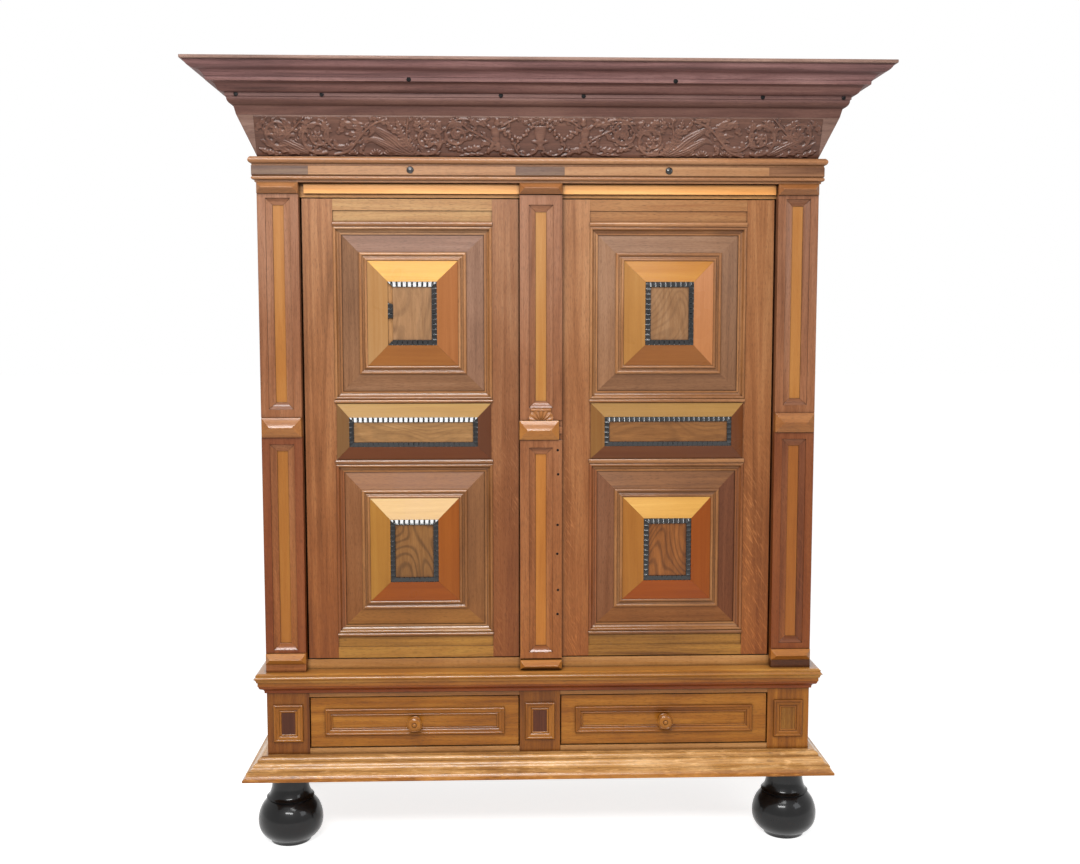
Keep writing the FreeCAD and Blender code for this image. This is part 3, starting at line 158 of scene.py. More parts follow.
woodLooks = {
    "doorOak": wood((80, 42, 18), (123, 69, 33), (150, 92, 47), flecks=0.5, upper=(1.18, 1.75, 3.5)),
    "mouldingOak": wood((82, 48, 24), (130, 84, 45), (160, 112, 66), coat=0.2, shine=0.8, coatRough=0.1,
                        dirt=1.0, reach=0.008, upper=(1.05, 1.15, 1.6)),
    "slopeOak": wood((84, 50, 27), (126, 81, 45), (152, 104, 62), contrast=0.9, reach=0.018, dirt=0.9,
                     coat=0.05, coatRough=0.2, rough=0.42, upper=(0.97, 1.28, 2.4)),
    "pilasterOak": wood((88, 46, 20), (131, 76, 37), (158, 100, 53), flecks=0.15, shine=0.5,
                        upper=(0.88, 1.2, 2.8)),
    "blockWood": wood((116, 63, 24), (155, 97, 42), (175, 120, 58), contrast=1.0, coat=0.2, shine=0.4,
                      upper=(0.75, 0.83, 1.7)),
    "lightStrip": wood((131, 74, 23), (157, 97, 36), (174, 117, 50), contrast=1.0, pores=0.15, coat=0.2,
                       upper=(0.83, 0.94, 1.85)),
    "headStrip": wood((172, 110, 56), (197, 135, 74), (214, 157, 96), contrast=1.2, pores=0.15, coat=0.3,
                      patchy=1.2),
    "bandLight": wood((121, 81, 50), (140, 100, 68), (156, 118, 84), contrast=1.2),
    "bandDark": wood((68, 50, 42), (92, 70, 58), (112, 90, 72), contrast=1.8, patchy=1.1),
    "facetWood": wood((158, 98, 40), (180, 119, 54), (198, 140, 70), contrast=0.9, pores=0.1, coatRough=0.16,
                      rough=0.32, upper=(1.1, 1.15, 1.4)),
    "stileOak": wood((80, 42, 18), (123, 69, 33), (150, 92, 47), upper=(1.18, 1.75, 3.5)),
    "railOak": wood((96, 60, 24), (148, 102, 46), (172, 130, 62), upper=(0.9, 1.0, 2.1)),
    "plateWood": wood((98, 60, 32), (132, 86, 50), (156, 108, 68), along=5.0, across=34, wave=2.2,
                      contrast=1.0, pores=0.3, veins=0.22, coat=0.25, upper=(1.3, 1.6, 2.3)),
    "figuredPlate": wood((74, 46, 22), (116, 77, 40), (142, 98, 55), along=4.0, across=30, wave=2.2,
                         contrast=1.2, pores=0.3, veins=0.5, coat=0.2),
    "darkPlate": wood((46, 22, 12), (68, 36, 21), (86, 48, 30), contrast=1.6),
    "crownOak": wood((72, 51, 47), (105, 74, 68), (130, 97, 88), patchy=0.8, rough=0.5, coat=0.0,
                     contrast=1.8, dirt=0.6, soil=(52, 34, 34), upper=(1.38, 1.48, 1.65),
                     fade=(2.094, 2.104)),
    "stepOak": wood((58, 40, 35), (85, 59, 52), (108, 79, 69), patchy=0.8, rough=0.5, coat=0.0, dirt=0.5,
                    soil=(52, 34, 34), upper=(1.5, 1.65, 1.85), fade=(2.054, 2.062)),
    "corniceOak": wood((74, 54, 46), (113, 88, 78), (140, 113, 101), patchy=0.8, rough=0.46, coat=0.0,
                       dirt=0.7, soil=(46, 30, 30)),
    "carvedOak": wood((60, 37, 28), (92, 62, 50), (122, 88, 72), patchy=0.9, carved=0.25, coat=0.25,
                      shine=0.5, coatRough=0.14, dirt=1.0, reach=0.008, soil=(28, 14, 12)),
    "astragalOak": wood((100, 64, 40), (137, 94, 62), (159, 118, 84), coat=0.2, shine=0.5),
    "baseOak": wood((99, 53, 19), (153, 97, 41), (190, 134, 72), patchy=1.1, contrast=1.5, rough=0.36,
                    wear=0.55, coat=0.1, shine=0.6, upper=(1.4, 1.85, 3.3), fade=(0.222, 0.236)),
    "ledgeOak": wood((84, 35, 10), (122, 59, 19), (148, 82, 31), patchy=0.8, coat=0.1, shine=0.7,
                     upper=(1.65, 3.2, 6.0), fade=(0.466, 0.488)),
    "sillOak": wood((102, 62, 28), (150, 102, 54), (180, 132, 80), patchy=0.7, coat=0.2),
    "drawerOak": wood((88, 47, 13), (136, 82, 26), (165, 108, 42), patchy=0.9, contrast=1.5),
    "drawerRing": wood((86, 44, 12), (136, 82, 27), (168, 110, 46), coat=0.1, shine=0.45, dirt=1.0,
                       reach=0.008),
    "insideOak": wood((112, 76, 44), (150, 108, 68), (178, 136, 92), rough=0.62, coat=0.0, dirt=0.6,
                      bump=0.4),
}


def woodMaterial(name, look):
    # colour from long streaks and fine fibres along each board, pores, pale rays, dark veins, patches and
    # worn spots, with painted shade in corners and creases
    material, tree, shader = newMaterial(name)
    shape = grainShape
    grain = addNode(tree, "Attribute", attribute_name="grainSpace").outputs["Vector"]
    tone = addNode(tree, "Attribute", attribute_name="boardTone").outputs["Fac"]
    tint = addNode(tree, "Attribute", attribute_name="boardTintAndLight").outputs["Vector"]
    place = addNode(tree, "TexCoord").outputs["Object"]
    height = addNode(tree, "SeparateXYZ", {0: place}).outputs["Z"]
    across, soilColour = look["across"], paint(*look["soil"])
    streak = noise(tree, grain, (look["along"], across, across), *shape["streak"], look["wave"])
    fibre = noise(tree, grain, shape["fibre"], 3.0, 0.6)
    pore = noise(tree, grain, shape["pore"], 1.0)
    patch = noise(tree, place, shape["patch"], 3.0, 0.6)

    def pale(share):
        return paint(*[min(255, part * share) for part in look["light"]])

    value = sway(tree, streak, look["contrast"], 0.5)
    value = sway(tree, fibre, look["contrast"] * shape["fibreShare"], value)
    value = calc(tree, "MULTIPLY_ADD", tone, look["tone"], value)
    value = sway(tree, patch, look["patchy"], value)
    if look["carved"]:
        raised = addNode(tree, "Attribute", attribute_name="carved").outputs["Fac"]
        value = sway(tree, raised, look["carved"], value)
    ramp = addNode(tree, "ValToRGB", {"Fac": value})
    stops = ramp.color_ramp.elements
    stops[0].color, stops[1].color = paint(*look["dark"]), paint(*look["light"])
    stops.new(0.5).color = paint(*look["mid"])
    colour = ramp.outputs["Color"]
    poreMask = calc(tree, "MULTIPLY", remap(tree, pore, *shape["poreEdges"]), look["pores"])
    colour = blendColour(tree, poreMask, colour, soilColour)
    if look["flecks"]:
        # pale rays lean across the grain, in some stretches of a board more than in others and low down only
        lean = addNode(tree, "Mapping", {"Vector": grain, "Rotation": (0.0, 0.0, shape["rayLean"]),
                                         "Scale": shape["raySize"]}, vector_type="TEXTURE")
        ray = remap(tree, noise(tree, lean.outputs[0], 1.0, 1.0, 0.5, 0.5), *shape["rayEdges"])
        where = remap(tree, noise(tree, grain, shape["rayPlace"], 2.0), *shape["rayPlaceEdges"])
        where = calc(tree, "MULTIPLY", where, remap(tree, height, *shape["rayHeights"]))
        rayMask = calc(tree, "MULTIPLY", calc(tree, "MULTIPLY", ray, look["flecks"]), where)
        colour = blendColour(tree, rayMask, colour, pale(shape["rayPale"]))
    if look["veins"]:
        # curved dark lines: the sine of a slow noise, like the level lines of a map
        slow = noise(tree, grain, shape["veinPlace"], 1.2, 0.4, 0.5)
        level = calc(tree, "SINE", calc(tree, "MULTIPLY", slow, shape["veinTurns"]))
        line = remap(tree, sway(tree, fibre, shape["veinFray"], level), *shape["veinEdges"])
        colour = blendColour(tree, calc(tree, "MULTIPLY", line, look["veins"]), colour, soilColour)
    if look["wear"]:
        # rubbed pale spots and dark stains
        worn = noise(tree, place, shape["worn"], 5.0, 0.7)
        for edges, spotColour in (("wornEdges", pale(shape["wornPale"])), ("stainEdges", soilColour)):
            mask = calc(tree, "MULTIPLY", remap(tree, worn, *shape[edges]), look["wear"])
            colour = blendColour(tree, mask, colour, spotColour)
    # colour changed with height: partly the wood's own colour, partly painted light and shade
    if look["upper"] != woodBase["upper"]:
        above = blendColour(tree, 1.0, colour, look["upper"] + (1.0,), "MULTIPLY")
        colour = blendColour(tree, remap(tree, height, *look["fade"]), colour, above)
    # each board's factor: its own colour, and on some boards painted light and shade
    colour = blendColour(tree, 1.0, colour, tint, "MULTIPLY")
    # painted shade: spots shut in by what stands round them go towards the soil colour and dull
    soil = calc(tree, "MULTIPLY", crevices(tree, look["reach"]), look["dirt"])
    colour = blendColour(tree, soil, colour, soilColour)
    dull = sway(tree, patch, shape["dullShare"], look["rough"])
    fill(tree, shader, {"Base Color": colour, "Specular IOR Level": look["specular"],
                        "Roughness": calc(tree, "MULTIPLY_ADD", soil, shape["dirtDull"], dull),
                        "Coat Weight": look["coat"], "Coat Roughness": look["coatRough"]})
    if look["shine"]:
        # sheen placed by where light falls: faces that look up get more coat
        normal = addNode(tree, "NewGeometry").outputs["Normal"]
        facing = addNode(tree, "SeparateXYZ", {0: normal}).outputs["Z"]
        upwardSheen = remap(tree, facing, *shape["shineEdges"], look["coat"], look["coat"] + look["shine"])
        fill(tree, shader, {"Coat Weight": upwardSheen})
    addBump(tree, shader, look["bump"], shape["bumpDepth"], calc(tree, "MULTIPLY_ADD", pore, -0.5, fibre))
    return material


blackLooks = {
    # name: roughness, coat, its roughness, the colour where it is rubbed through, how much of that shows
    "ebony": (0.3, 0.8, 0.09, (60, 40, 28), 0.2), "blackLacquer": (0.35, 0.45, 0.11, (30, 25, 24), 0.4),
    "darkPeg": (0.5, 0.0, 0.3, (104, 84, 88), 2.0), "nailHead": (0.3, 0.9, 0.2, (96, 92, 96), 0.8),
}
blackShape = {"black": (11, 10, 11), "cloud": 21.0, "wornEdges": (0.55, 0.75), "scratch": (40.0, 40.0, 300.0),
              "scratchShare": 0.3, "dullEdges": (0.3, 0.7), "polished": 0.7, "dulled": 1.5, "specular": 0.12,
              "bump": 0.2, "bumpDepth": 0.0008}


def blackMaterial(name, rough, coat, coatRough, wearColour, wear):
    # black finish, a little uneven, rubbed through to another colour in places
    material, tree, shader = newMaterial(name)
    shape = blackShape
    place = addNode(tree, "TexCoord").outputs["Object"]
    cloud = noise(tree, place, shape["cloud"], 5.0, 0.62, 0.4)
    scratch = noise(tree, place, shape["scratch"], 2.0, 0.6)
    worn = calc(tree, "MULTIPLY", remap(tree, cloud, *shape["wornEdges"]), wear)
    dull = remap(tree, cloud, *shape["dullEdges"], rough * shape["polished"], rough * shape["dulled"])
    fill(tree, shader, {"Base Color": blendColour(tree, worn, paint(*shape["black"]), paint(*wearColour)),
                        "Roughness": dull, "Specular IOR Level": shape["specular"], "Coat Weight": coat,
                        "Coat Roughness": coatRough})
    marks = calc(tree, "ADD", cloud, calc(tree, "MULTIPLY", scratch, shape["scratchShare"]))
    addBump(tree, shader, shape["bump"], shape["bumpDepth"], marks)
    return material


ironShape = {"hammer": 95.0, "rust": 37.0, "rustEdges": (0.5, 0.68), "bright": (78, 74, 70),
             "rusty": (96, 58, 36), "hollow": (26, 20, 16), "reach": 0.006, "metallic": 0.85,
             "roughness": (0.35, 0.65, 0.38, 0.8), "bump": 0.5, "bumpDepth": 0.0012}


def ironMaterial(name):
    # forged iron: dark, mottled, with rust in places and a darker colour in its hollows
    material, tree, shader = newMaterial(name)
    shape = ironShape
    place = addNode(tree, "TexCoord").outputs["Object"]
    hammer = noise(tree, place, shape["hammer"], 3.0, 0.5)
    rust = noise(tree, place, shape["rust"], 5.0, 0.7)
    colour = blendColour(tree, remap(tree, rust, *shape["rustEdges"]), paint(*shape["bright"]),
                         paint(*shape["rusty"]))
    colour = blendColour(tree, crevices(tree, shape["reach"]), colour, paint(*shape["hollow"]))
    fill(tree, shader, {"Base Color": colour, "Roughness": remap(tree, rust, *shape["roughness"]),
                        "Metallic": shape["metallic"]})
    addBump(tree, shader, shape["bump"], shape["bumpDepth"], hammer)
    return material


materials = {name: woodMaterial(name, look) for name, look in woodLooks.items()}
materials.update({name: blackMaterial(name, *look) for name, look in blackLooks.items()})
materials["iron"] = ironMaterial("iron")
print("materials made:", len(materials))


# Small helpers for meshes

def gridFaces(rows, columns, closed=False):
    # quads between the points of a rows by columns grid, numbered row by row; closed joins the last
    # column to the first
    row = np.arange(rows - 1)[:, None] * columns
    column = np.arange(columns if closed else columns - 1)[None, :]
    after = (column + 1) % columns
    corners = (row + column, row + after, row + columns + after, row + columns + column)
    quads = np.stack(np.broadcast_arrays(*corners), axis=-1).reshape(-1, 4)
    return [tuple(quad) for quad in quads.tolist()]


def setPoints(mesh, name, kind, values):
    # stores one value or vector for every point of the mesh
    layer = mesh.attributes.new(name, kind, "POINT")
    field = "vector" if kind == "FLOAT_VECTOR" else "value"
    layer.data.foreach_set(field, np.ascontiguousarray(values).ravel())


def addObject(name, data):
    made = bpy.data.objects.new(name, data)
    bpy.context.scene.collection.objects.link(made)
    return made


def addPiece(name, node, points, faces, materialNames, grain=None, tone=None, tint=None, faceMaterial=None):
    # makes one object at the origin from arrays, on the body of a CAD node
    mesh = bpy.data.meshes.new(name)
    mesh.from_pydata(points.tolist(), [], [list(face) for face in faces])
    setPoints(mesh, "grainSpace", "FLOAT_VECTOR", points if grain is None else grain)
    setPoints(mesh, "boardTone", "FLOAT", np.zeros(len(points)) if tone is None else tone)
    setPoints(mesh, "boardTintAndLight", "FLOAT_VECTOR", np.ones((len(points), 3)) if tint is None else tint)
    for material in [materialNames] if isinstance(materialNames, str) else materialNames:
        mesh.materials.append(materials[material])
    if faceMaterial is not None:
        mesh.polygons.foreach_set("material_index", faceMaterial)
    mesh.update()
    piece = addObject(name, mesh)
    body, slot = bodyOf[node], slotOf[node]
    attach(piece, body)
    return piece


def turnOut(shell):
    bmesh.ops.recalc_face_normals(shell, faces=shell.faces)


def smoothOut(piece, creases=None, change=turnOut):
    # changes the mesh and shades it smooth, but for edges sharper than creases, an angle in degrees
    shell = bmesh.new()
    shell.from_mesh(piece.data)
    change(shell)
    shell.to_mesh(piece.data)
    shell.free()
    piece.data.shade_smooth()
    if creases:
        piece.data.set_sharp_from_angle(angle=math.radians(creases))


def joined(parts):
    # the points and faces of several shapes as one
    offsets = np.cumsum([0] + [len(points) for points, _ in parts])
    faces = [tuple(index + offset for index in face)
             for (_, own), offset in zip(parts, offsets) for face in own]
    return np.vstack([points for points, _ in parts]), faces


def solidsOf(node):
    # The points, the triangles and each triangle's solid of a CAD node. Its solids were written one after
    # another, so a new one starts wherever no edge joins the triangles before to those after.
    mesh = frame["nodes"][node].data
    mesh.calc_loop_triangles()
    points = np.empty(len(mesh.vertices) * 3, np.float32)
    mesh.vertices.foreach_get("co", points)
    points = points.reshape(-1, 3).astype(float)
    corners = np.empty(len(mesh.loop_triangles) * 3, np.int32)
    mesh.loop_triangles.foreach_get("vertices", corners)
    _, place = np.unique(np.round(points[corners] * 1e6).astype(np.int64), axis=0, return_inverse=True)
    place = place.reshape(-1, 3).astype(np.int64)
    edges = np.sort(np.stack([place, np.roll(place, -1, axis=1)], axis=2), axis=2)
    code = (edges[..., 0] * (place.max() + 1) + edges[..., 1]).ravel()
    order = np.argsort(code, kind="stable")
    code, triangle = code[order], order // 3
    start = np.flatnonzero(np.r_[True, code[1:] != code[:-1]])
    rank = np.arange(len(code)) - np.repeat(start, np.diff(np.r_[start, len(code)]))
    first = np.flatnonzero(rank % 2 == 0)
    crossing = np.zeros(len(place) + 1, np.int64)
    np.add.at(crossing, triangle[first] + 1, 1)
    np.add.at(crossing, triangle[first + 1] + 1, -1)
    solid = np.cumsum(np.cumsum(crossing)[:-1] == 0) - 1
    key = solid[:, None] * (place.max() + 1) + place
    _, keep, index = np.unique(key.ravel(), return_index=True, return_inverse=True)
    return points[corners[keep]], index.reshape(-1, 3), solid


def nodesOf(names):
    # the nodes of a spaced list; a name with a star stands for the left one and then the right one
    for name in names.split():
        yield from [name.replace("*", side) for side in ("left", "right")] if "*" in name else [name]


def solidBoxes(node):
    # lowest and highest corner of each solid of a node
    points, triangles, solid = solidsOf(node)
    corners = [points[triangles[solid == i]].reshape(-1, 3) for i in range(solid.max() + 1)]
    return [(own.min(axis=0), own.max(axis=0)) for own in corners]


# Boards cut from the CAD nodes

slopes = dict.fromkeys((*range(8, 12), *range(20, 24)), "slopeOak")   # the sloping frames of two cushions
rings = dict.fromkeys(range(1, 5), "drawerRing")
rails = dict.fromkeys((2, 4), "railOak")
boardFinish = [
    # nodes, material, rounding of their edges in metres, other materials of some boards
    ("bottom_frame base_boards", "insideOak", 0.001), ("rear_feet", "insideOak", 0.002),
    ("drawer_runners back_boards body_boards shelves shelf_battens", "insideOak", 0.001),
    ("*_drawer_box", "insideOak", 0.0008), ("base_moulding", "baseOak", 0),
    ("middle_moulding", "ledgeOak", 0),
    ("base_posts", "drawerOak", 0.001), ("base_post_mouldings", "drawerRing", 0),
    ("base_post_plates", "darkPlate", 0.0004, {2: "drawerOak"}), ("drawer_rails", "sillOak", 0.001),
    ("base_walls", "drawerOak", 0.001), ("*_drawer_front", "drawerOak", 0.0006, rings),
    ("front_posts rear_posts", "pilasterOak", 0.001), ("front_rails", "sillOak", 0.001),
    ("side_rails", "pilasterOak", 0.001), ("side_panels", "pilasterOak", 0),
    ("outer_pilasters centre_pilaster", "pilasterOak", 0.0008),
    ("pilaster_blocks keyhole_cover", "blockWood", 0.0008),
    ("light_inlays", "lightStrip", 0.0004, {4: "headStrip", 5: "headStrip"}),
    ("centre_inlays", "lightStrip", 0.0004), ("architrave", "astragalOak", 0),
    ("architrave_band", "bandLight", 0.0003, {0: "bandDark", 2: "bandDark", 4: "bandDark"}),
    ("frieze_boards", "corniceOak", 0.0008), ("lower_cornice", "stepOak", 0),
    ("crown_moulding", "crownOak", 0), ("cornice_top", "corniceOak", 0.001),
    ("left_door_frame", "doorOak", 0.0008, {0: "stileOak", **rails}),
    ("right_door_frame", "doorOak", 0.0008, rails), ("*_door_mouldings", "mouldingOak", 0, slopes),
    ("*_door_panels", "insideOak", 0), ("*_door_facets", "facetWood", 0.0005),
    ("*_door_plates", "plateWood", 0.0005, {0: "figuredPlate"}), ("pivot_sockets", "iron", 0.0004),
    ("lock_case", "iron", 0.001), ("lock_bolt upper_bolt lower_bolt", "iron", 0.0006),
    ("left_door_irons", "iron", 0.0004), ("*_door_pins", "iron", 0.0006)]
panelTints = dict.fromkeys((0, 1), (1.1, 0.95, 0.6))   # the inner faces of both doors
boardTintsAndLight = {
    # node: {solid: what its colour is multiplied by}; a ring's solids go round from the top, clockwise. Most
    # factors are a board's own colour; those of facets, mouldings and rails noted below paint light and shade
    # the facets' factors paint light and shade onto each face of the cushions, with a painted highlight on
    # the brightest tops
    "left_door_facets": {0: (0.92, 1.3, 1.9), 1: (0.46, 0.28, 0.12), 2: (0.55, 0.3, 0.05),
                         3: (0.65, 0.7, 0.62), 4: (1.0, 1.2, 0.9), 5: (0.52, 0.44, 0.6),
                         6: (0.5, 0.41, 0.35), 7: (0.58, 0.68, 1.1), 8: (0.6, 0.8, 1.0),
                         9: (0.2, 0.15, 0.27), 10: (0.28, 0.17, 0.14), 11: (0.32, 0.35, 0.55)},
    "right_door_facets": {0: (1.0, 1.25, 1.3), 1: (0.45, 0.23, 0.05), 2: (0.56, 0.28, 0.06),
                          3: (0.57, 0.52, 0.42), 4: (0.59, 0.53, 0.28), 5: (0.8, 0.77, 1.3),
                          6: (0.46, 0.38, 0.36), 7: (0.58, 0.63, 0.72), 8: (0.54, 0.7, 0.9),
                          9: (0.27, 0.19, 0.22), 10: (0.26, 0.17, 0.18), 11: (0.37, 0.38, 0.47)},
    "left_door_plates": {0: (0.9, 0.92, 0.95), 1: (0.88, 0.97, 1.0), 2: (0.95, 1.07, 0.95)},
    "right_door_plates": {0: (1.18, 0.95, 0.78), 1: (0.66, 0.68, 0.65), 2: (0.78, 0.72, 0.5)},
    # mouldings and slopes: some faces are lightened as painted highlights, others darkened as painted shade
    "left_door_mouldings": {6: (1.2, 1.4, 1.7), 7: (0.88, 0.7, 0.65), 8: (0.8, 0.65, 0.4),
                            10: (1.2, 1.2, 0.9), 11: (0.82, 0.72, 0.66), 16: (1.25, 1.5, 1.9),
                            20: (0.8, 0.8, 0.95), 21: (1.1, 1.2, 1.5)},
    "right_door_mouldings": {5: (0.8, 0.65, 0.6), 7: (0.75, 0.55, 0.5), 8: (0.88, 0.82, 0.7),
                             9: (0.62, 0.48, 0.52), 10: (1.0, 0.9, 0.75), 11: (0.72, 0.65, 0.75),
                             20: (0.85, 0.85, 0.85)},
    "left_door_frame": {1: (0.82, 0.8, 0.85)}, "left_door_panels": panelTints,
    "right_door_frame": {0: (0.95, 0.9, 0.8), 4: (0.8, 0.66, 0.62)}, "right_door_panels": panelTints,
    "outer_pilasters": {0: (0.66, 0.5, 0.46), 11: (0.68, 0.52, 0.42), 12: (0.7, 0.6, 0.55),
                        13: (0.7, 0.6, 0.6), 14: (0.7, 0.6, 0.55), 15: (0.75, 0.65, 0.65),
                        21: (0.32, 0.3, 0.32)},
    "light_inlays": {0: (0.85, 0.83, 0.8), 2: (0.77, 0.66, 0.6)}, "keyhole_cover": {0: (1.05, 1.0, 0.7)},
    "centre_inlays": {0: (1.1, 1.1, 1.2), 1: (1.03, 1.1, 1.15)},
    "base_posts": {0: (1.0, 0.97, 0.9), 2: (0.68, 0.6, 0.68), 4: (0.88, 0.84, 0.84)},
    "base_post_plates": {0: (0.9, 0.85, 0.8), 1: (1.4, 1.35, 1.05), 2: (0.7, 0.75, 0.8)},
    # drawer rails 1 and 3 are darkened as a painted shadow under the moulding above them
    "drawer_rails": dict.fromkeys((1, 3), (0.7, 0.6, 0.45)), "architrave_band": {4: (1.8, 1.5, 1.05)},
}
flatAngle, creaseAngle = 0.6, 32   # in degrees: flatter triangles are one face, steeper edges stay sharp
shellSolid = len(solidBoxes("centre_pilaster")) - 1   # its last solid is carved below instead


def mergeFlat(shell):
    # the triangles of each flat face become one face
    bmesh.ops.delete(shell, geom=[v for v in shell.verts if not v.link_faces], context="VERTS")
    bmesh.ops.dissolve_limit(shell, angle_limit=math.radians(flatAngle), verts=shell.verts, edges=shell.edges)


def finishBoards(node, material, rounding, random, others=None, skip=()):
    # One piece for all boards of a node. The grain runs along a board's longest side, and each board takes
    # its own stretch of grain and its own tone.
    points, triangles, solid = solidsOf(node)
    solidOfPoint = np.zeros(len(points), int)
    solidOfPoint[triangles.ravel()] = np.repeat(solid, 3)
    count = solid.max() + 1
    grain = np.empty_like(points)
    for i in range(count):
        own = solidOfPoint == i
        size = np.ptp(points[own], axis=0)
        long = int(np.argmax(size))
        order = [long, (long + 1) % 3, (long + 2) % 3]
        grain[own] = points[own][:, order] + random.uniform(-20, 20, 3)
    tones = random.uniform(-1, 1, count)
    # factors per board: colour, and for some facets, mouldings and rails painted light and shade
    tints = np.ones((count, 3))
    for i, tint in boardTintsAndLight.get(node, {}).items():
        tints[i] = tint
    others = others or {}
    names = [material] + sorted(set(others.values()))
    nameOfSolid = np.array([names.index(others.get(i, material)) for i in range(count)])
    kept = ~np.isin(solid, skip)
    piece = addPiece(node + "_finished", node, points, triangles[kept], names, grain, tones[solidOfPoint],
                     tints[solidOfPoint], nameOfSolid[solid[kept]])
    smoothOut(piece, creaseAngle, mergeFlat)
    if rounding:
        bevel = piece.modifiers.new("rounding", "BEVEL")
        bevel.width, bevel.segments = rounding, 2
        bevel.limit_method, bevel.angle_limit = "ANGLE", math.radians(creaseAngle)
        bevel.harden_normals = True
    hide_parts(node)


boardRandom = np.random.default_rng(11)
for names, material, rounding, *others in boardFinish:
    for node in nodesOf(names):
        finishBoards(node, material, rounding, boardRandom, *others,
                     skip=(shellSolid,) if node == "centre_pilaster" else ())
print("boards finished")


# Feet and knobs

def turnedSurface(profile, segments):
    # surface of revolution about the z axis: (radius, height) pairs swept round, each end closed by one flat
    # face
    radius, height = np.array(profile).T
    angle = np.linspace(0, 2 * np.pi, segments, endpoint=False)
    points = np.stack([np.outer(radius, np.cos(angle)), np.outer(radius, np.sin(angle)),
                       np.repeat(height[:, None], segments, axis=1)], axis=-1).reshape(-1, 3)
    faces = gridFaces(len(radius), segments, closed=True)
    for row, flip in ((0, True), (len(radius) - 1, False)):
        rim = list(range(row * segments, (row + 1) * segments))
        faces.append(tuple(reversed(rim)) if flip else tuple(rim))
    return points, faces


def curveThrough(knots, steps):
    # smooth curve through the knots: each stretch is a Catmull-Rom cubic
    knots = np.array(knots, float)
    ends = np.vstack([2 * knots[0] - knots[1], knots, 2 * knots[-1] - knots[-2]])
    t = np.linspace(0, 1, steps, endpoint=False)[:, None]
    parts = [0.5 * (2 * b + (c - a) * t + (2 * a - 5 * b + 4 * c - d) * t ** 2
                    + (3 * b - a - 3 * c + d) * t ** 3)
             for a, b, c, d in zip(ends[:-3], ends[1:-2], ends[2:-1], ends[3:])]
    return np.vstack(parts + [knots[-1:]])


footShape = {
    "segments": 96, "creases": 50,
    "disc": [(0.052, 0.0), (0.0565, 0.002), (0.058, 0.006), (0.0605, 0.012)],
    "ball": [(0.0605, 0.012), (0.075, 0.022), (0.087, 0.040), (0.091, 0.062), (0.0885, 0.084),
             (0.081, 0.104), (0.070, 0.119), (0.065, 0.1245)],
    "ring": [(0.063, 0.126), (0.0645, 0.128), (0.0668, 0.1305), (0.0645, 0.133), (0.0625, 0.134)],
    "neck": [(0.0595, 0.138), (0.0545, 0.150), (0.0515, 0.165), (0.0515, 0.185), (0.055, 0.2),
             (0.0575, 0.2148)],
}


def makeFeet():
    # the floor disc, the ball, the ring and the neck follow one another up the profile
    shape = footShape
    profile = np.vstack([shape["disc"], curveThrough(shape["ball"], 5)[1:], shape["ring"],
                         curveThrough(shape["neck"], 4)])
    points, faces = turnedSurface(profile, shape["segments"])
    low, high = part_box("front_feet")
    reach = (high[0] - low[0]) / 2 - profile[:, 0].max()
    middle = (low[1] + high[1]) / 2
    pair = [(points + (side * reach, middle, 0), faces) for side in (-1, 1)]
    piece = addPiece("ball_feet", "front_feet", *joined(pair), "blackLacquer")
    smoothOut(piece, shape["creases"])
    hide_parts("front_feet")


knobShape = {
    "segments": 64, "length": 0.039, "creases": 40, "tone": 1.5,
    "profile": [(0.0155, 0.0), (0.0155, 0.003), (0.013, 0.0045), (0.0105, 0.008), (0.0098, 0.012),
                (0.0115, 0.0145), (0.0155, 0.016), (0.0165, 0.018), (0.0155, 0.0202), (0.0125, 0.0212),
                (0.0125, 0.0222), (0.0175, 0.0236), (0.0208, 0.0258), (0.0219, 0.0285), (0.0210, 0.0318),
                (0.0190, 0.0338), (0.0178, 0.0330), (0.0168, 0.0339), (0.012, 0.0357), (0.0072, 0.0366),
                (0.0068, 0.0355), (0.0056, 0.0355), (0.0052, 0.0376), (0.0034, 0.0389)],
}


def makeKnob(node):
    # mushroom knob with a ring behind the head and a button in a groove, turned about the y axis
    points, faces = turnedSurface(knobShape["profile"], knobShape["segments"])
    low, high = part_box(node)
    centre = np.array([(low[0] + high[0]) / 2, low[1] + knobShape["length"], (low[2] + high[2]) / 2])
    turned = np.stack([points[:, 0], -points[:, 2], points[:, 1]], axis=1) + centre
    piece = addPiece(node + "_turned", node, turned, faces, "drawerRing", points[:, [2, 0, 1]] + centre[0],
                     np.full(len(points), knobShape["tone"]))
    smoothOut(piece, knobShape["creases"])
    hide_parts(node)


makeFeet()
for node in nodesOf("*_drawer_knob"):
    makeKnob(node)
print("turned pieces made")


# Ebony ripple frames

rippleShape = {"pitch": 0.0138, "groove": 0.36, "sharp": 12, "step": 0.0009, "tilts": (18.5, 10.5, 16),
               "inner": 0.96, "bulge": 0.015, "creases": 50, "lost": 7, "left": (0.42, 0.67)}
# tilts: how steep the faces of the lower, the upper and the long frame are, in degrees
# lost: the solid of the left door of which only a stretch is left, between two shares of its length


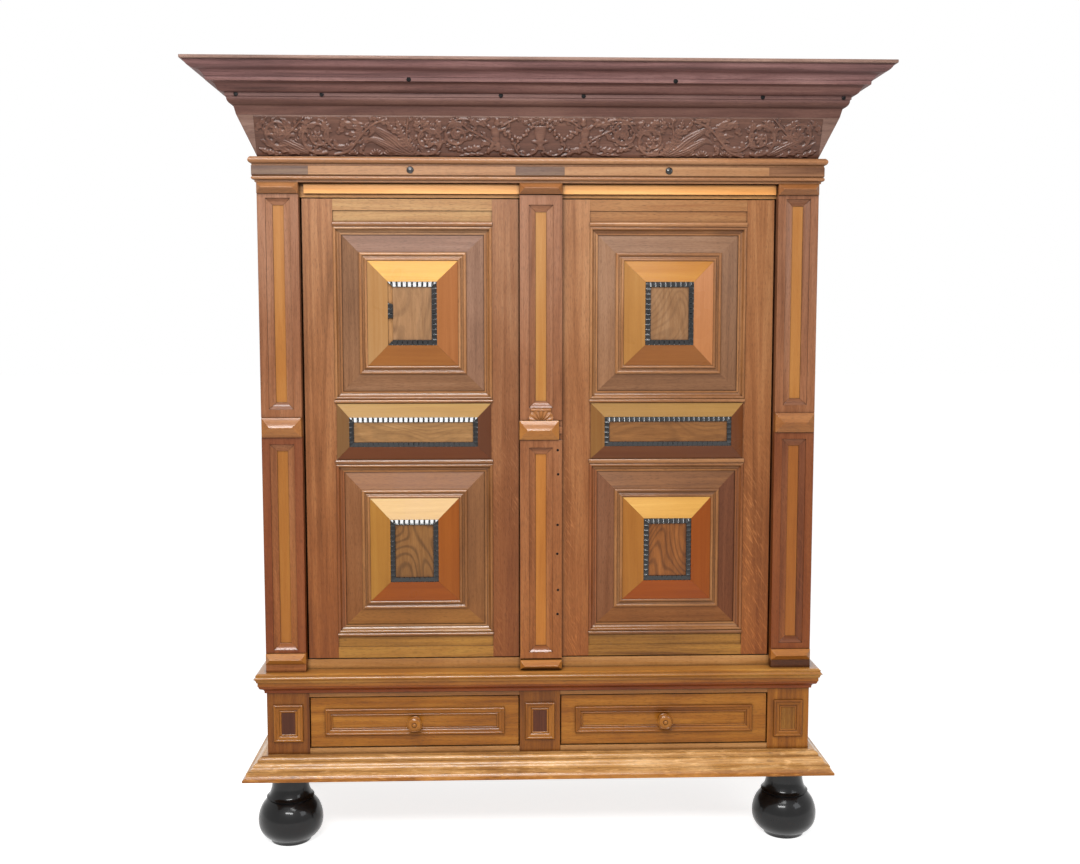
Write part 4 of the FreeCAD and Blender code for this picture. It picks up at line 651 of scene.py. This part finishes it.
def rippleRun(low, high, across, outward, tilt, stretch=(0.0, 1.0)):
    # One mitred side. Over its width t the face climbs at its tilt to the inner edge, with a bulge of
    # 4 t (1 - t). Along it grooves stand one pitch apart, each a raised cosine to a power that narrows it.
    # across is the axis over its width, 0 for an upright side; outward, 1 or -1, points out of the frame.
    shape = rippleShape
    along = 2 - across
    width, length = high[across] - low[across], high[along] - low[along]
    t = np.concatenate([[0.0], np.linspace(0, 1, 11), [1.0]])
    rows = int(length * (stretch[1] - stretch[0]) / shape["step"])
    s = np.linspace(stretch[0] * 2 - 1, stretch[1] * 2 - 1, rows)[:, None]
    place = s * (length / 2 - width * t[None, :])
    phase = 2 * np.pi * place / shape["pitch"]
    arch = 4 * t * (1 - t)
    drop = width * math.tan(math.radians(tilt)) / (high[1] - low[1])
    climb = shape["inner"] - drop * (1 - t) + shape["bulge"] * arch
    groove = (0.5 + 0.5 * np.cos(phase)) ** shape["sharp"]
    height = climb[None, :] * (1 - shape["groove"] * groove * arch[None, :] ** 0.35)
    height[:, [0, -1]] = 0
    points = np.empty((rows, len(t), 3))
    points[..., along] = (low[along] + high[along]) / 2 + place
    start = low[across] if outward < 0 else high[across]
    points[..., across] = start - outward * width * t[None, :]
    points[..., 1] = high[1] - height * (high[1] - low[1])
    faces = gridFaces(rows, len(t), closed=True)
    faces.append(tuple(range(len(t))))
    faces.append(tuple(reversed(range((rows - 1) * len(t), rows * len(t)))))
    return points.reshape(-1, 3), faces


def makeRipples(node):
    # four solids to a frame, each side where the box of its solid is
    boxes = solidBoxes(node)
    runs = []
    for first in range(0, len(boxes), 4):
        sides = boxes[first:first + 4]
        lows, highs = np.array(sides).transpose(1, 0, 2)
        centre = (lows.min(axis=0) + highs.max(axis=0)) / 2
        for index, (low, high) in enumerate(sides, first):
            across = 0 if high[2] - low[2] > high[0] - low[0] else 2
            outward = 1 if (low[across] + high[across]) / 2 > centre[across] else -1
            lost = node.startswith("left") and index == rippleShape["lost"]
            stretch = rippleShape["left"] if lost else (0.0, 1.0)
            runs.append(rippleRun(low, high, across, outward, rippleShape["tilts"][first // 4], stretch))
    piece = addPiece(node + "_rippled", node, *joined(runs), "ebony")
    smoothOut(piece, rippleShape["creases"])
    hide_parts(node)


for node in nodesOf("*_door_ebony"):
    makeRipples(node)
print("ripple frames made")


# Carved frieze

carvedShape = {
    # millimetres on the board: x from its middle outwards, then up the slope; both halves use the same lists
    "step": 1.45, "lift": 4.6, "ground": 0.3, "tremble": 1.6, "leafGap": 15.0, "leafLong": 15.0,
    "leafWide": 4.6, "scallop": 0.18, "ribDepth": 0.42, "ribSlant": 0.7, "veinDepth": 0.4, "veinWide": 1.2,
    "stemLift": 0.85, "stemTaper": 0.4, "beadShare": 0.72,
    "vines": [
        # knots, radius
        ([(60, 4), (92, 16), (128, 40), (160, 60), (192, 76), (214, 93), (240, 88), (252, 66)], 4.4),
        ([(548, 3), (512, 16), (486, 44), (462, 72), (436, 90), (405, 101)], 5.2),
        ([(500, 34), (520, 22), (546, 22), (566, 40), (572, 62), (560, 84)], 4.6),
        ([(150, 84), (184, 98), (214, 101), (244, 92)], 4.4),
        ([(326, 8), (350, 30), (356, 60), (350, 104)], 4.2),
        ([(690, 46), (668, 62), (645, 84), (628, 104)], 4.2),
        ([(8, 26), (14, 12), (34, 5), (56, 10), (66, 30), (58, 44)], 4.0),
        ([(60, 104), (84, 94), (106, 80)], 4.0)],
    "spirals": [
        # centre, radius, first angle, turns, inner share of the radius, thickness
        ((222, 60), 30, 4, -1.2, 0.35, 5.0), ((300, 46), 42, -62, -1.25, 0.38, 5.4),
        ((592, 54), 48, -115, 1.4, 0.34, 5.6), ((696, 64), 40, -130, 1.3, 0.38, 5.2)],
    "leaves": [
        # knots, half width, lobes; a leaf without lobes has flutes along it
        ([(616, 8), (650, 26), (684, 42), (726, 62)], 13, 0),
        ([(640, 5), (676, 14), (712, 24), (744, 44)], 9, 5),
        ([(690, 4), (722, 10), (750, 22)], 8, 4), ([(650, 56), (676, 58), (700, 72), (712, 92)], 9, 4),
        ([(752, 66), (742, 86), (722, 104)], 8, 3), ([(640, 62), (626, 78), (622, 102)], 9, 4),
        ([(660, 72), (672, 88), (690, 103)], 8, 3), ([(548, 44), (540, 28), (520, 22), (498, 34)], 8, 2),
        ([(528, 98), (508, 86), (486, 79), (460, 80)], 10, 3), ([(508, 106), (492, 93), (468, 84)], 7, 2),
        ([(470, 78), (488, 62), (520, 58)], 8, 3), ([(474, 70), (490, 52), (510, 42)], 8, 3),
        ([(540, 62), (528, 76), (518, 98)], 9, 3), ([(556, 70), (572, 84), (566, 102)], 8, 3),
        ([(600, 100), (616, 92), (628, 78)], 8, 3), ([(604, 20), (592, 12), (574, 8)], 7, 2),
        ([(322, 5), (352, 28), (370, 60), (380, 104)], 14, 13),
        ([(336, 5), (372, 24), (402, 50), (456, 84)], 15, 0),
        ([(348, 5), (388, 18), (420, 36), (446, 46), (466, 36)], 13, 0),
        ([(376, 62), (398, 80), (408, 104)], 8, 4),
        ([(454, 100), (432, 103), (410, 92)], 8, 3), ([(456, 84), (448, 66), (458, 54)], 7, 2),
        ([(470, 32), (480, 16), (468, 4)], 7, 3), ([(262, 66), (282, 68), (300, 54)], 9, 2),
        ([(330, 30), (306, 12), (270, 8)], 8, 3), ([(296, 70), (302, 88), (318, 104)], 11, 4),
        ([(322, 66), (330, 84), (326, 104)], 9, 4), ([(276, 100), (268, 84), (272, 70)], 8, 3),
        ([(206, 70), (220, 62), (236, 52)], 9, 2), ([(160, 24), (184, 20), (206, 22)], 9, 3),
        ([(134, 34), (150, 36), (156, 26)], 8, 2), ([(176, 64), (190, 52), (214, 46)], 7, 3),
        ([(214, 96), (226, 84), (230, 66)], 10, 3), ([(206, 14), (224, 22), (244, 20)], 7, 3),
        ([(64, 4), (96, 18), (126, 20), (150, 8)], 7, 5), ([(152, 8), (184, 6), (216, 4)], 5, 4),
        ([(136, 104), (160, 94), (190, 90)], 7, 3), ([(190, 104), (176, 88), (170, 74)], 7, 3)],
    "fans": [
        # centre, radius, first and last angle, ribs
        ((398, 1), 24, 12, 168, 7), ((438, 1), 20, 12, 168, 6), ((500, 1), 17, 20, 160, 5),
        ((286, 72), 18, 60, 200, 5), ((640, 34), 18, 20, 160, 5)],
    "blossoms": [
        # centre, radius, petals
        ((222, 58), 12, 5), ((300, 47), 15, 6), ((592, 54), 16, 6), ((566, 68), 9, 5), ((606, 80), 9, 5),
        ((574, 30), 9, 5), ((696, 64), 17, 7), ((318, 92), 9, 5), ((244, 32), 8, 5), ((726, 84), 8, 5),
        ((8, 92), 8, 6), ((24, 98), 7, 5), ((40, 92), 8, 6), ((28, 84), 6, 5), ((56, 99), 6, 5),
        ((10, 103), 5, 5)],
    "garland": ([(20, 86), (38, 66), (58, 48), (80, 58), (96, 68)], 7.4),
    "vase": [(20, 9), (22, 16), (25, 9), (30, 7), (36, 10), (40, 24), (45, 24), (47, 11), (55, 14), (66, 16),
             (78, 16), (82, 19), (84, 18)],   # height, half width
    "figure": [
        # the parts of a small winged child: centre, half length, half width, angle of its length
        ((120, 66), 19, 12, 80), ((119, 47), 12, 11, 90), ((115, 91), 9, 8.5, 90), ((115, 97), 7.5, 8, 0),
        ((102, 74), 12, 5, 158), ((86, 68), 10, 4, 170), ((134, 80), 11, 5, 40), ((148, 92), 10, 4.5, 50),
        ((112, 33), 13, 6.5, 70), ((104, 17), 10, 5, 105), ((128, 32), 13, 6.5, 118),
        ((138, 17), 10, 5, 95)],
}


def alongPath(x, v, path):
    # distance of each grid point to a path and how far along it the nearest spot is, from 0 to 1
    start, way = path[:-1], np.diff(path, axis=0)
    size = np.linalg.norm(way, axis=1)
    fromX, fromV = x[..., None] - start[:, 0], v[..., None] - start[:, 1]
    share = np.clip((fromX * way[:, 0] + fromV * way[:, 1]) / size ** 2, 0, 1)
    gap = np.hypot(fromX - share * way[:, 0], fromV - share * way[:, 1])
    nearest = gap.argmin(axis=-1)[..., None]
    run = np.r_[0, np.cumsum(size)]
    place = run[nearest] + np.take_along_axis(share, nearest, -1) * size[nearest]
    return np.take_along_axis(gap, nearest, -1)[..., 0], place[..., 0] / run[-1]


def lifted(board, path, reach, form):
    # raises the board near a path to form(distance, share of the path), where that is higher
    x, v, height = board
    columns = (x[0] > path[:, 0].min() - reach) & (x[0] < path[:, 0].max() + reach)
    rows = (v[:, 0] > path[:, 1].min() - reach) & (v[:, 0] < path[:, 1].max() + reach)
    window = np.ix_(rows, columns)
    if rows.any() and columns.any():
        height[window] = np.maximum(height[window], form(*alongPath(x[window], v[window], path)))


def domed(share):
    # height of a round section: the root of 1 - share squared inside, nothing outside
    return np.sqrt(np.clip(1 - share ** 2, 0, 1))


def carveLeaf(board, path, width, lobes):
    # Half width: a sine over the length, scalloped by the lobes. Section: a dome with a vein and slanting
    # ribs, or with flutes along the leaf where it has no lobes.
    shape = carvedShape

    def form(gap, run):
        scallop = 1 + shape["scallop"] * np.cos(2 * np.pi * lobes * run) * (lobes > 0)
        edge = width * np.sin(np.pi * run ** 0.7) ** 0.6 * scallop
        across = gap / np.maximum(edge, 0.2)
        if lobes:
            ribs = 0.5 + 0.5 * np.cos(2 * np.pi * (lobes * run - shape["ribSlant"] * across))
        else:
            ribs = 0.5 + 0.5 * np.cos(4 * np.pi * across)
        ribbed = 1 - shape["ribDepth"] * ribs * np.clip(across * 3, 0, 1)
        vein = np.exp(-(gap / shape["veinWide"]) ** 2)
        return shape["lift"] * domed(across) * ribbed * (1 - shape["veinDepth"] * vein)
    lifted(board, path, width * 1.3, form)


def carveStem(board, path, radius, random):
    # a round stem that tapers, with leaves by turns on its two sides that lean forward and curl back to it
    shape = carvedShape

    def form(gap, share):
        return shape["lift"] * shape["stemLift"] * domed(gap / (radius * (1 - shape["stemTaper"] * share)))
    lifted(board, path, radius, form)
    run = np.r_[0, np.cumsum(np.linalg.norm(np.diff(path, axis=0), axis=1))]
    for index, stop in enumerate(np.arange(shape["leafGap"] * 0.6, run[-1] - 4, shape["leafGap"])):
        foot, further = np.array([[np.interp(place, run, path[:, i]) for i in (0, 1)]
                                  for place in (stop, stop + 3)])
        ahead = (further - foot) / np.linalg.norm(further - foot)
        aside = np.array([-ahead[1], ahead[0]]) * (1 if index % 2 else -1)
        long = shape["leafLong"] * random.uniform(0.8, 1.2)
        knots = [foot, foot + long * (0.45 * ahead + 0.5 * aside),
                 foot + long * (1.1 * ahead + 0.55 * aside)]
        carveLeaf(board, curveThrough(knots, 5), shape["leafWide"], 2)


def carveHalf(board, side, random):
    # each form raises the board where it is higher; side is 1 or -1 and mirrors the places
    shape = carvedShape
    lift = shape["lift"]
    x, v, height = board

    def placed(knots):
        moved = np.array(knots, float) + random.uniform(-1, 1, (len(knots), 2)) * shape["tremble"]
        return moved * (side, 1)

    def around(centre):
        # how far each spot lies from a place, sideways, up the slope and in all
        middle = placed([centre])[0]
        return x - middle[0], v - middle[1], np.hypot(x - middle[0], v - middle[1])

    for knots, radius in shape["vines"]:
        carveStem(board, curveThrough(placed(knots), 6), radius, random)
    for centre, radius, first, turns, inner, thick in shape["spirals"]:
        share = np.linspace(0, 1, 60)
        turn = np.radians(first) + share * turns * 2 * np.pi
        reach = radius * (1 - (1 - inner) * share ** 0.9)
        path = np.stack([centre[0] + reach * np.cos(turn), centre[1] + reach * np.sin(turn)], axis=1)
        carveStem(board, path * (side, 1), thick, random)
    for knots, width, lobes in shape["leaves"]:
        carveLeaf(board, curveThrough(placed(knots), 8), width, lobes)
    for centre, radius, first, last, ribs in shape["fans"]:
        # ribs spread from a centre: height falls off at the scalloped rim and between the ribs
        fromX, fromV, away = around(centre)
        turn = np.degrees(np.arctan2(fromV, fromX * side))
        share = (turn - first) / (last - first)
        wave = np.abs(np.sin(np.pi * ribs * share))
        rim = radius * (0.82 + 0.18 * wave)
        form = lift * (0.35 + 0.65 * wave ** 0.7) * domed(away / rim) ** 0.5
        form = form * np.clip(away / radius * 1.6, 0.25, 1)
        height[:] = np.maximum(height, np.where((share > 0) & (share < 1) & (away < rim), form, 0))
    for centre, radius, petals in shape["blossoms"]:
        # petals: the rim and the height follow the cosine of the angle; a button stands in the middle
        fromX, fromV, away = around(centre)
        petal = np.abs(np.cos(petals / 2 * np.arctan2(fromV, fromX)))
        share = away / (radius * (0.62 + 0.38 * petal))
        form = lift * domed(share) * (0.55 + 0.45 * petal) * np.clip(0.3 + away / radius * 1.5, 0, 1)
        form = np.maximum(form, lift * domed(away / (radius * 0.28)))
        height[:] = np.maximum(height, form)
    # beads in a hanging row, two abreast
    knots, radius = shape["garland"]
    path = curveThrough(placed(knots), 4)
    for index, middle in enumerate(path[::2]):
        for offset in (-0.5, 0.5):
            away = np.hypot(x - middle[0] - offset * radius * (index % 2), v - middle[1] - offset * radius)
            height[:] = np.maximum(height, lift * domed(away / (radius * shape["beadShare"])))
    for centre, long, wide, angle in shape["figure"]:
        # limbs and body are half ellipsoids
        turn = math.radians(angle)
        fromX, fromV = x * side - centre[0], v - centre[1]
        over = fromX * math.cos(turn) + fromV * math.sin(turn)
        aside = fromV * math.cos(turn) - fromX * math.sin(turn)
        height[:] = np.maximum(height, lift * domed(np.hypot(over / long, aside / wide)))


def closedField(rows, columns):
    # the faces of a grid and one face over its back, along the rim
    index = np.arange(rows * columns).reshape(rows, columns)
    rim = np.concatenate([index[0], index[1:, -1], index[-1, -2::-1], index[-2:0:-1, 0]])
    return gridFaces(rows, columns) + [tuple(rim[::-1].tolist())]


def makeCarving():
    # Height field on the slanted board: place = foot + along x + height up the slope + relief along the
    # normal. A rim of points at the back closes it.
    shape = carvedShape
    corners = solidsOf("frieze_carving")[0]
    backFoot, backHead, frontFoot = (corners[np.argmax(corners[:, 1])], corners[np.argmax(corners[:, 2])],
                                     corners[np.argmin(corners[:, 2])])
    slope, out = (backHead - backFoot) * (0, 1, 1), (frontFoot - backFoot) * (0, 1, 1)
    tall, half = np.linalg.norm(slope) * 1000, corners[:, 0].max() * 1000
    slope, out = slope / np.linalg.norm(slope), out / np.linalg.norm(out)
    x, v = np.meshgrid(np.linspace(-half, half, int(2 * half / shape["step"])),
                       np.linspace(0, tall, int(tall / shape["step"])))
    height = np.zeros_like(x)
    for side in (-1, 1):
        carveHalf((x, v, height), side, np.random.default_rng(5 + side))
    levels, widths = np.array(shape["vase"], float).T
    halfWidth = np.interp(v, levels, widths, left=0.01, right=0.01)
    height = np.maximum(height, shape["lift"] * domed(x / halfWidth) * (halfWidth > 1))
    relief = np.pad(height + shape["ground"], 1)
    x, v = np.pad(x, 1, mode="edge"), np.pad(v, 1, mode="edge")
    foot = backFoot * (0, 1, 1)
    points = foot + (x[..., None] * (1, 0, 0) + v[..., None] * slope + relief[..., None] * out) / 1000
    piece = addPiece("frieze_relief", "frieze_carving", points.reshape(-1, 3), closedField(*x.shape),
                     "carvedOak")
    setPoints(piece.data, "carved", "FLOAT", np.pad(height, 1) / shape["lift"])
    smoothOut(piece)
    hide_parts("frieze_carving")


makeCarving()
print("frieze carved")


# Small shell over the keyhole cover

shellShape = {"halfWidth": 0.034, "height": 0.033, "proud": 0.0058, "sunk": 0.0006, "capWidth": 0.028,
              "capHeight": 0.009, "flutes": 7, "columns": 141, "rows": 61, "eye": 0.004, "squat": 0.9,
              "rim": 1.02, "capRise": 0.13, "capRound": 0.14, "capFoot": 0.05}


def makeShell():
    # Height field on the pilaster's face: below a rounded ledge, flutes spread from the foot as the cosine
    # of their angle under a dome. The ground and the rim lie sunk in the face.
    shape = shellShape
    low, high = solidBoxes("centre_pilaster")[shellSolid]
    middle, back = (low[0] + high[0]) / 2, high[1] + shape["sunk"]
    u, v = np.meshgrid(np.linspace(-1, 1, shape["columns"]), np.linspace(0, 1, shape["rows"]))
    turn = np.arctan2(v * shape["height"] + shape["eye"], u * shape["halfWidth"])
    away = np.hypot(u, v * shape["squat"])
    flute = 0.5 + 0.5 * np.cos(2 * shape["flutes"] * (turn - np.pi / 2))
    dome = domed(away / shape["rim"]) ** 0.6 * (0.55 + 0.45 * flute ** 0.6)
    split = 1 - shape["capHeight"] / shape["height"]
    ledge = domed((v - split - shape["capRise"]) / shape["capRound"])
    ledge = ledge * domed(u * shape["halfWidth"] / shape["capWidth"]) ** 0.3
    relief = np.maximum(np.where(v < split + shape["capFoot"], dome, 0), ledge)
    relief = np.pad(relief[1:-1, 1:-1], 1)
    points = np.stack([middle + u * shape["halfWidth"], back - relief * (shape["proud"] + shape["sunk"]),
                       low[2] + v * shape["height"]], axis=-1)
    piece = addPiece("carved_shell", "centre_pilaster", points.reshape(-1, 3), closedField(*u.shape),
                     "blockWood")
    smoothOut(piece)
    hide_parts("centre_pilaster")


makeShell()
print("shell made")


# Pegs and nails

studShape = {"segments": 24, "sink": 0.002, "creases": 60,
             "profile": [(1.0, 0.0), (0.97, 0.3), (0.82, 0.66), (0.55, 0.9), (0.12, 1.0)]}
studs = {
    # name: (node that carries them, material, radius and height in metres, their x and z)
    "crown_pegs": ("crown_moulding", "darkPeg", 0.006, 0.0008, [(-0.343, 2.101), (0.350, 2.101)]),
    "cornice_pegs": ("lower_cornice", "darkPeg", 0.006, 0.0008, [
        (-0.796, 2.069), (-0.573, 2.069), (-0.105, 2.069), (0.113, 2.069), (0.588, 2.069), (0.804, 2.069)]),
    "pilaster_holes": ("centre_pilaster", "darkPeg", 0.0036, 0.0003, [
        (0.049, 1.125), (0.05, 1.058), (0.049, 0.917), (0.048, 0.836), (0.05, 0.734), (0.049, 0.666)]),
    "band_nails": ("architrave_band", "nailHead", 0.0095, 0.0045, [(-0.348, 1.882), (0.348, 1.882)]),
}


def makeStuds(name, node, material, radius, height, places):
    # domed heads, a share of radius and height for each ring of the profile, where a line from the front
    # meets the node, turned to the way its face looks
    points, triangles, _ = solidsOf(node)
    tree = BVHTree.FromPolygons(points.tolist(), triangles.tolist())
    profile = [(radius, -studShape["sink"])] + [(radius * a, height * b) for a, b in studShape["profile"]]
    head, faces = turnedSurface(profile, studShape["segments"])
    parts = []
    for x, z in places:
        spot, normal, _, _ = tree.ray_cast((x, -2.0, z), (0, 1, 0))
        turn = np.array(normal.to_track_quat("Z", "Y").to_matrix())
        parts.append((head @ turn.T + np.array(spot), faces))
    piece = addPiece(name, node, *joined(parts), material)
    smoothOut(piece, studShape["creases"])


for name, stud in studs.items():
    makeStuds(name, *stud)
print("pegs and nails made")


# Stage, light and camera

stageShape = {"reach": 30.0, "floorGrey": 0.72, "floorGlow": 0.78, "worldLight": 0.33, "worldSeen": 1.0}
lamps = {
    # name: (place, aim, size, power, tint)
    "ceilingStrip": ((-0.6, -3.3, 2.75), (0.0, -0.25, 1.1), (1.8, 0.6), 94, (1.0, 1.0, 1.0)),
    "overhead": ((-0.5, -1.9, 3.5), (0.0, -0.3, 1.0), (2.6, 0.8), 68, (1.0, 1.0, 1.0)),
    "sideFill": ((3.0, -2.4, 2.4), (0.0, -0.2, 1.1), (1.6, 1.6), 30, (0.92, 0.96, 1.0)),
}


def addStage():
    # the floor takes a faint shadow and is otherwise as white as the backdrop, to the camera and in mirrors
    mesh = bpy.data.meshes.new("floor")
    reach = stageShape["reach"]
    mesh.from_pydata([(-reach, -reach, 0), (reach, -reach, 0), (reach, reach, 0), (-reach, reach, 0)], [],
                     [(0, 1, 2, 3)])
    floor = addObject("floor", mesh)
    material, tree, shader = newMaterial("paleFloor")
    glow = remap(tree, seenRays(tree), 0.0, 1.0, 0.0, stageShape["floorGlow"])
    fill(tree, shader, {"Base Color": (*[stageShape["floorGrey"]] * 3, 1.0), "Roughness": 0.95,
                        "Specular IOR Level": 0.0, "Emission Color": (1.0, 1.0, 1.0, 1.0),
                        "Emission Strength": glow})
    mesh.materials.append(material)


def seenRays(tree):
    # 1 for what the camera sees itself, in a reflection or through glass
    rays = addNode(tree, "LightPath").outputs
    return calc(tree, "MAXIMUM", calc(tree, "MAXIMUM", rays["Is Camera Ray"], rays["Is Glossy Ray"]),
                rays["Is Transmission Ray"])


def addWorld():
    # soft light from all round; the camera and reflections see it white
    world = bpy.data.worlds.new("studio")
    bpy.context.scene.world = world
    world.use_nodes = True
    tree = world.node_tree
    strength = remap(tree, seenRays(tree), 0.0, 1.0, stageShape["worldLight"], stageShape["worldSeen"])
    fill(tree, tree.nodes["Background"], {"Strength": strength, "Color": (1.0, 1.0, 1.0, 1.0)})


def addLamp(name, place, aim, size, power, tint):
    # a rectangular lamp, turned so that its light goes from its place to its aim
    lamp = bpy.data.lights.new(name, "AREA")
    lamp.shape, lamp.size, lamp.size_y = "RECTANGLE", size[0], size[1]
    lamp.energy, lamp.color = power, tint
    holder = addObject(name, lamp)
    way = np.array(aim, float) - np.array(place, float)
    holder.location = place
    holder.rotation_euler = (math.acos(-way[2] / np.linalg.norm(way)), 0, math.atan2(-way[0], way[1]))


cameraPlace = {"position": (-0.1176, -3.571, 1.480), "turn": 2.007, "down": 5.175, "focalPixels": 1228.7,
               "imageWidth": 1080, "sensor": 36.0}


def addCamera():
    # the lens is the focal length in pixels over the image width, times the sensor width
    camera = bpy.data.cameras.new("camera")
    camera.sensor_width = cameraPlace["sensor"]
    camera.lens = cameraPlace["focalPixels"] / cameraPlace["imageWidth"] * cameraPlace["sensor"]
    holder = addObject("camera", camera)
    holder.location = cameraPlace["position"]
    holder.rotation_euler = (math.radians(90 - cameraPlace["down"]), 0, -math.radians(cameraPlace["turn"]))
    bpy.context.scene.camera = holder


addStage()
addWorld()
for name, lamp in lamps.items():
    addLamp(name, *lamp)
addCamera()
bpy.context.scene.view_settings.view_transform = "Standard"
print("stage, light and camera set")
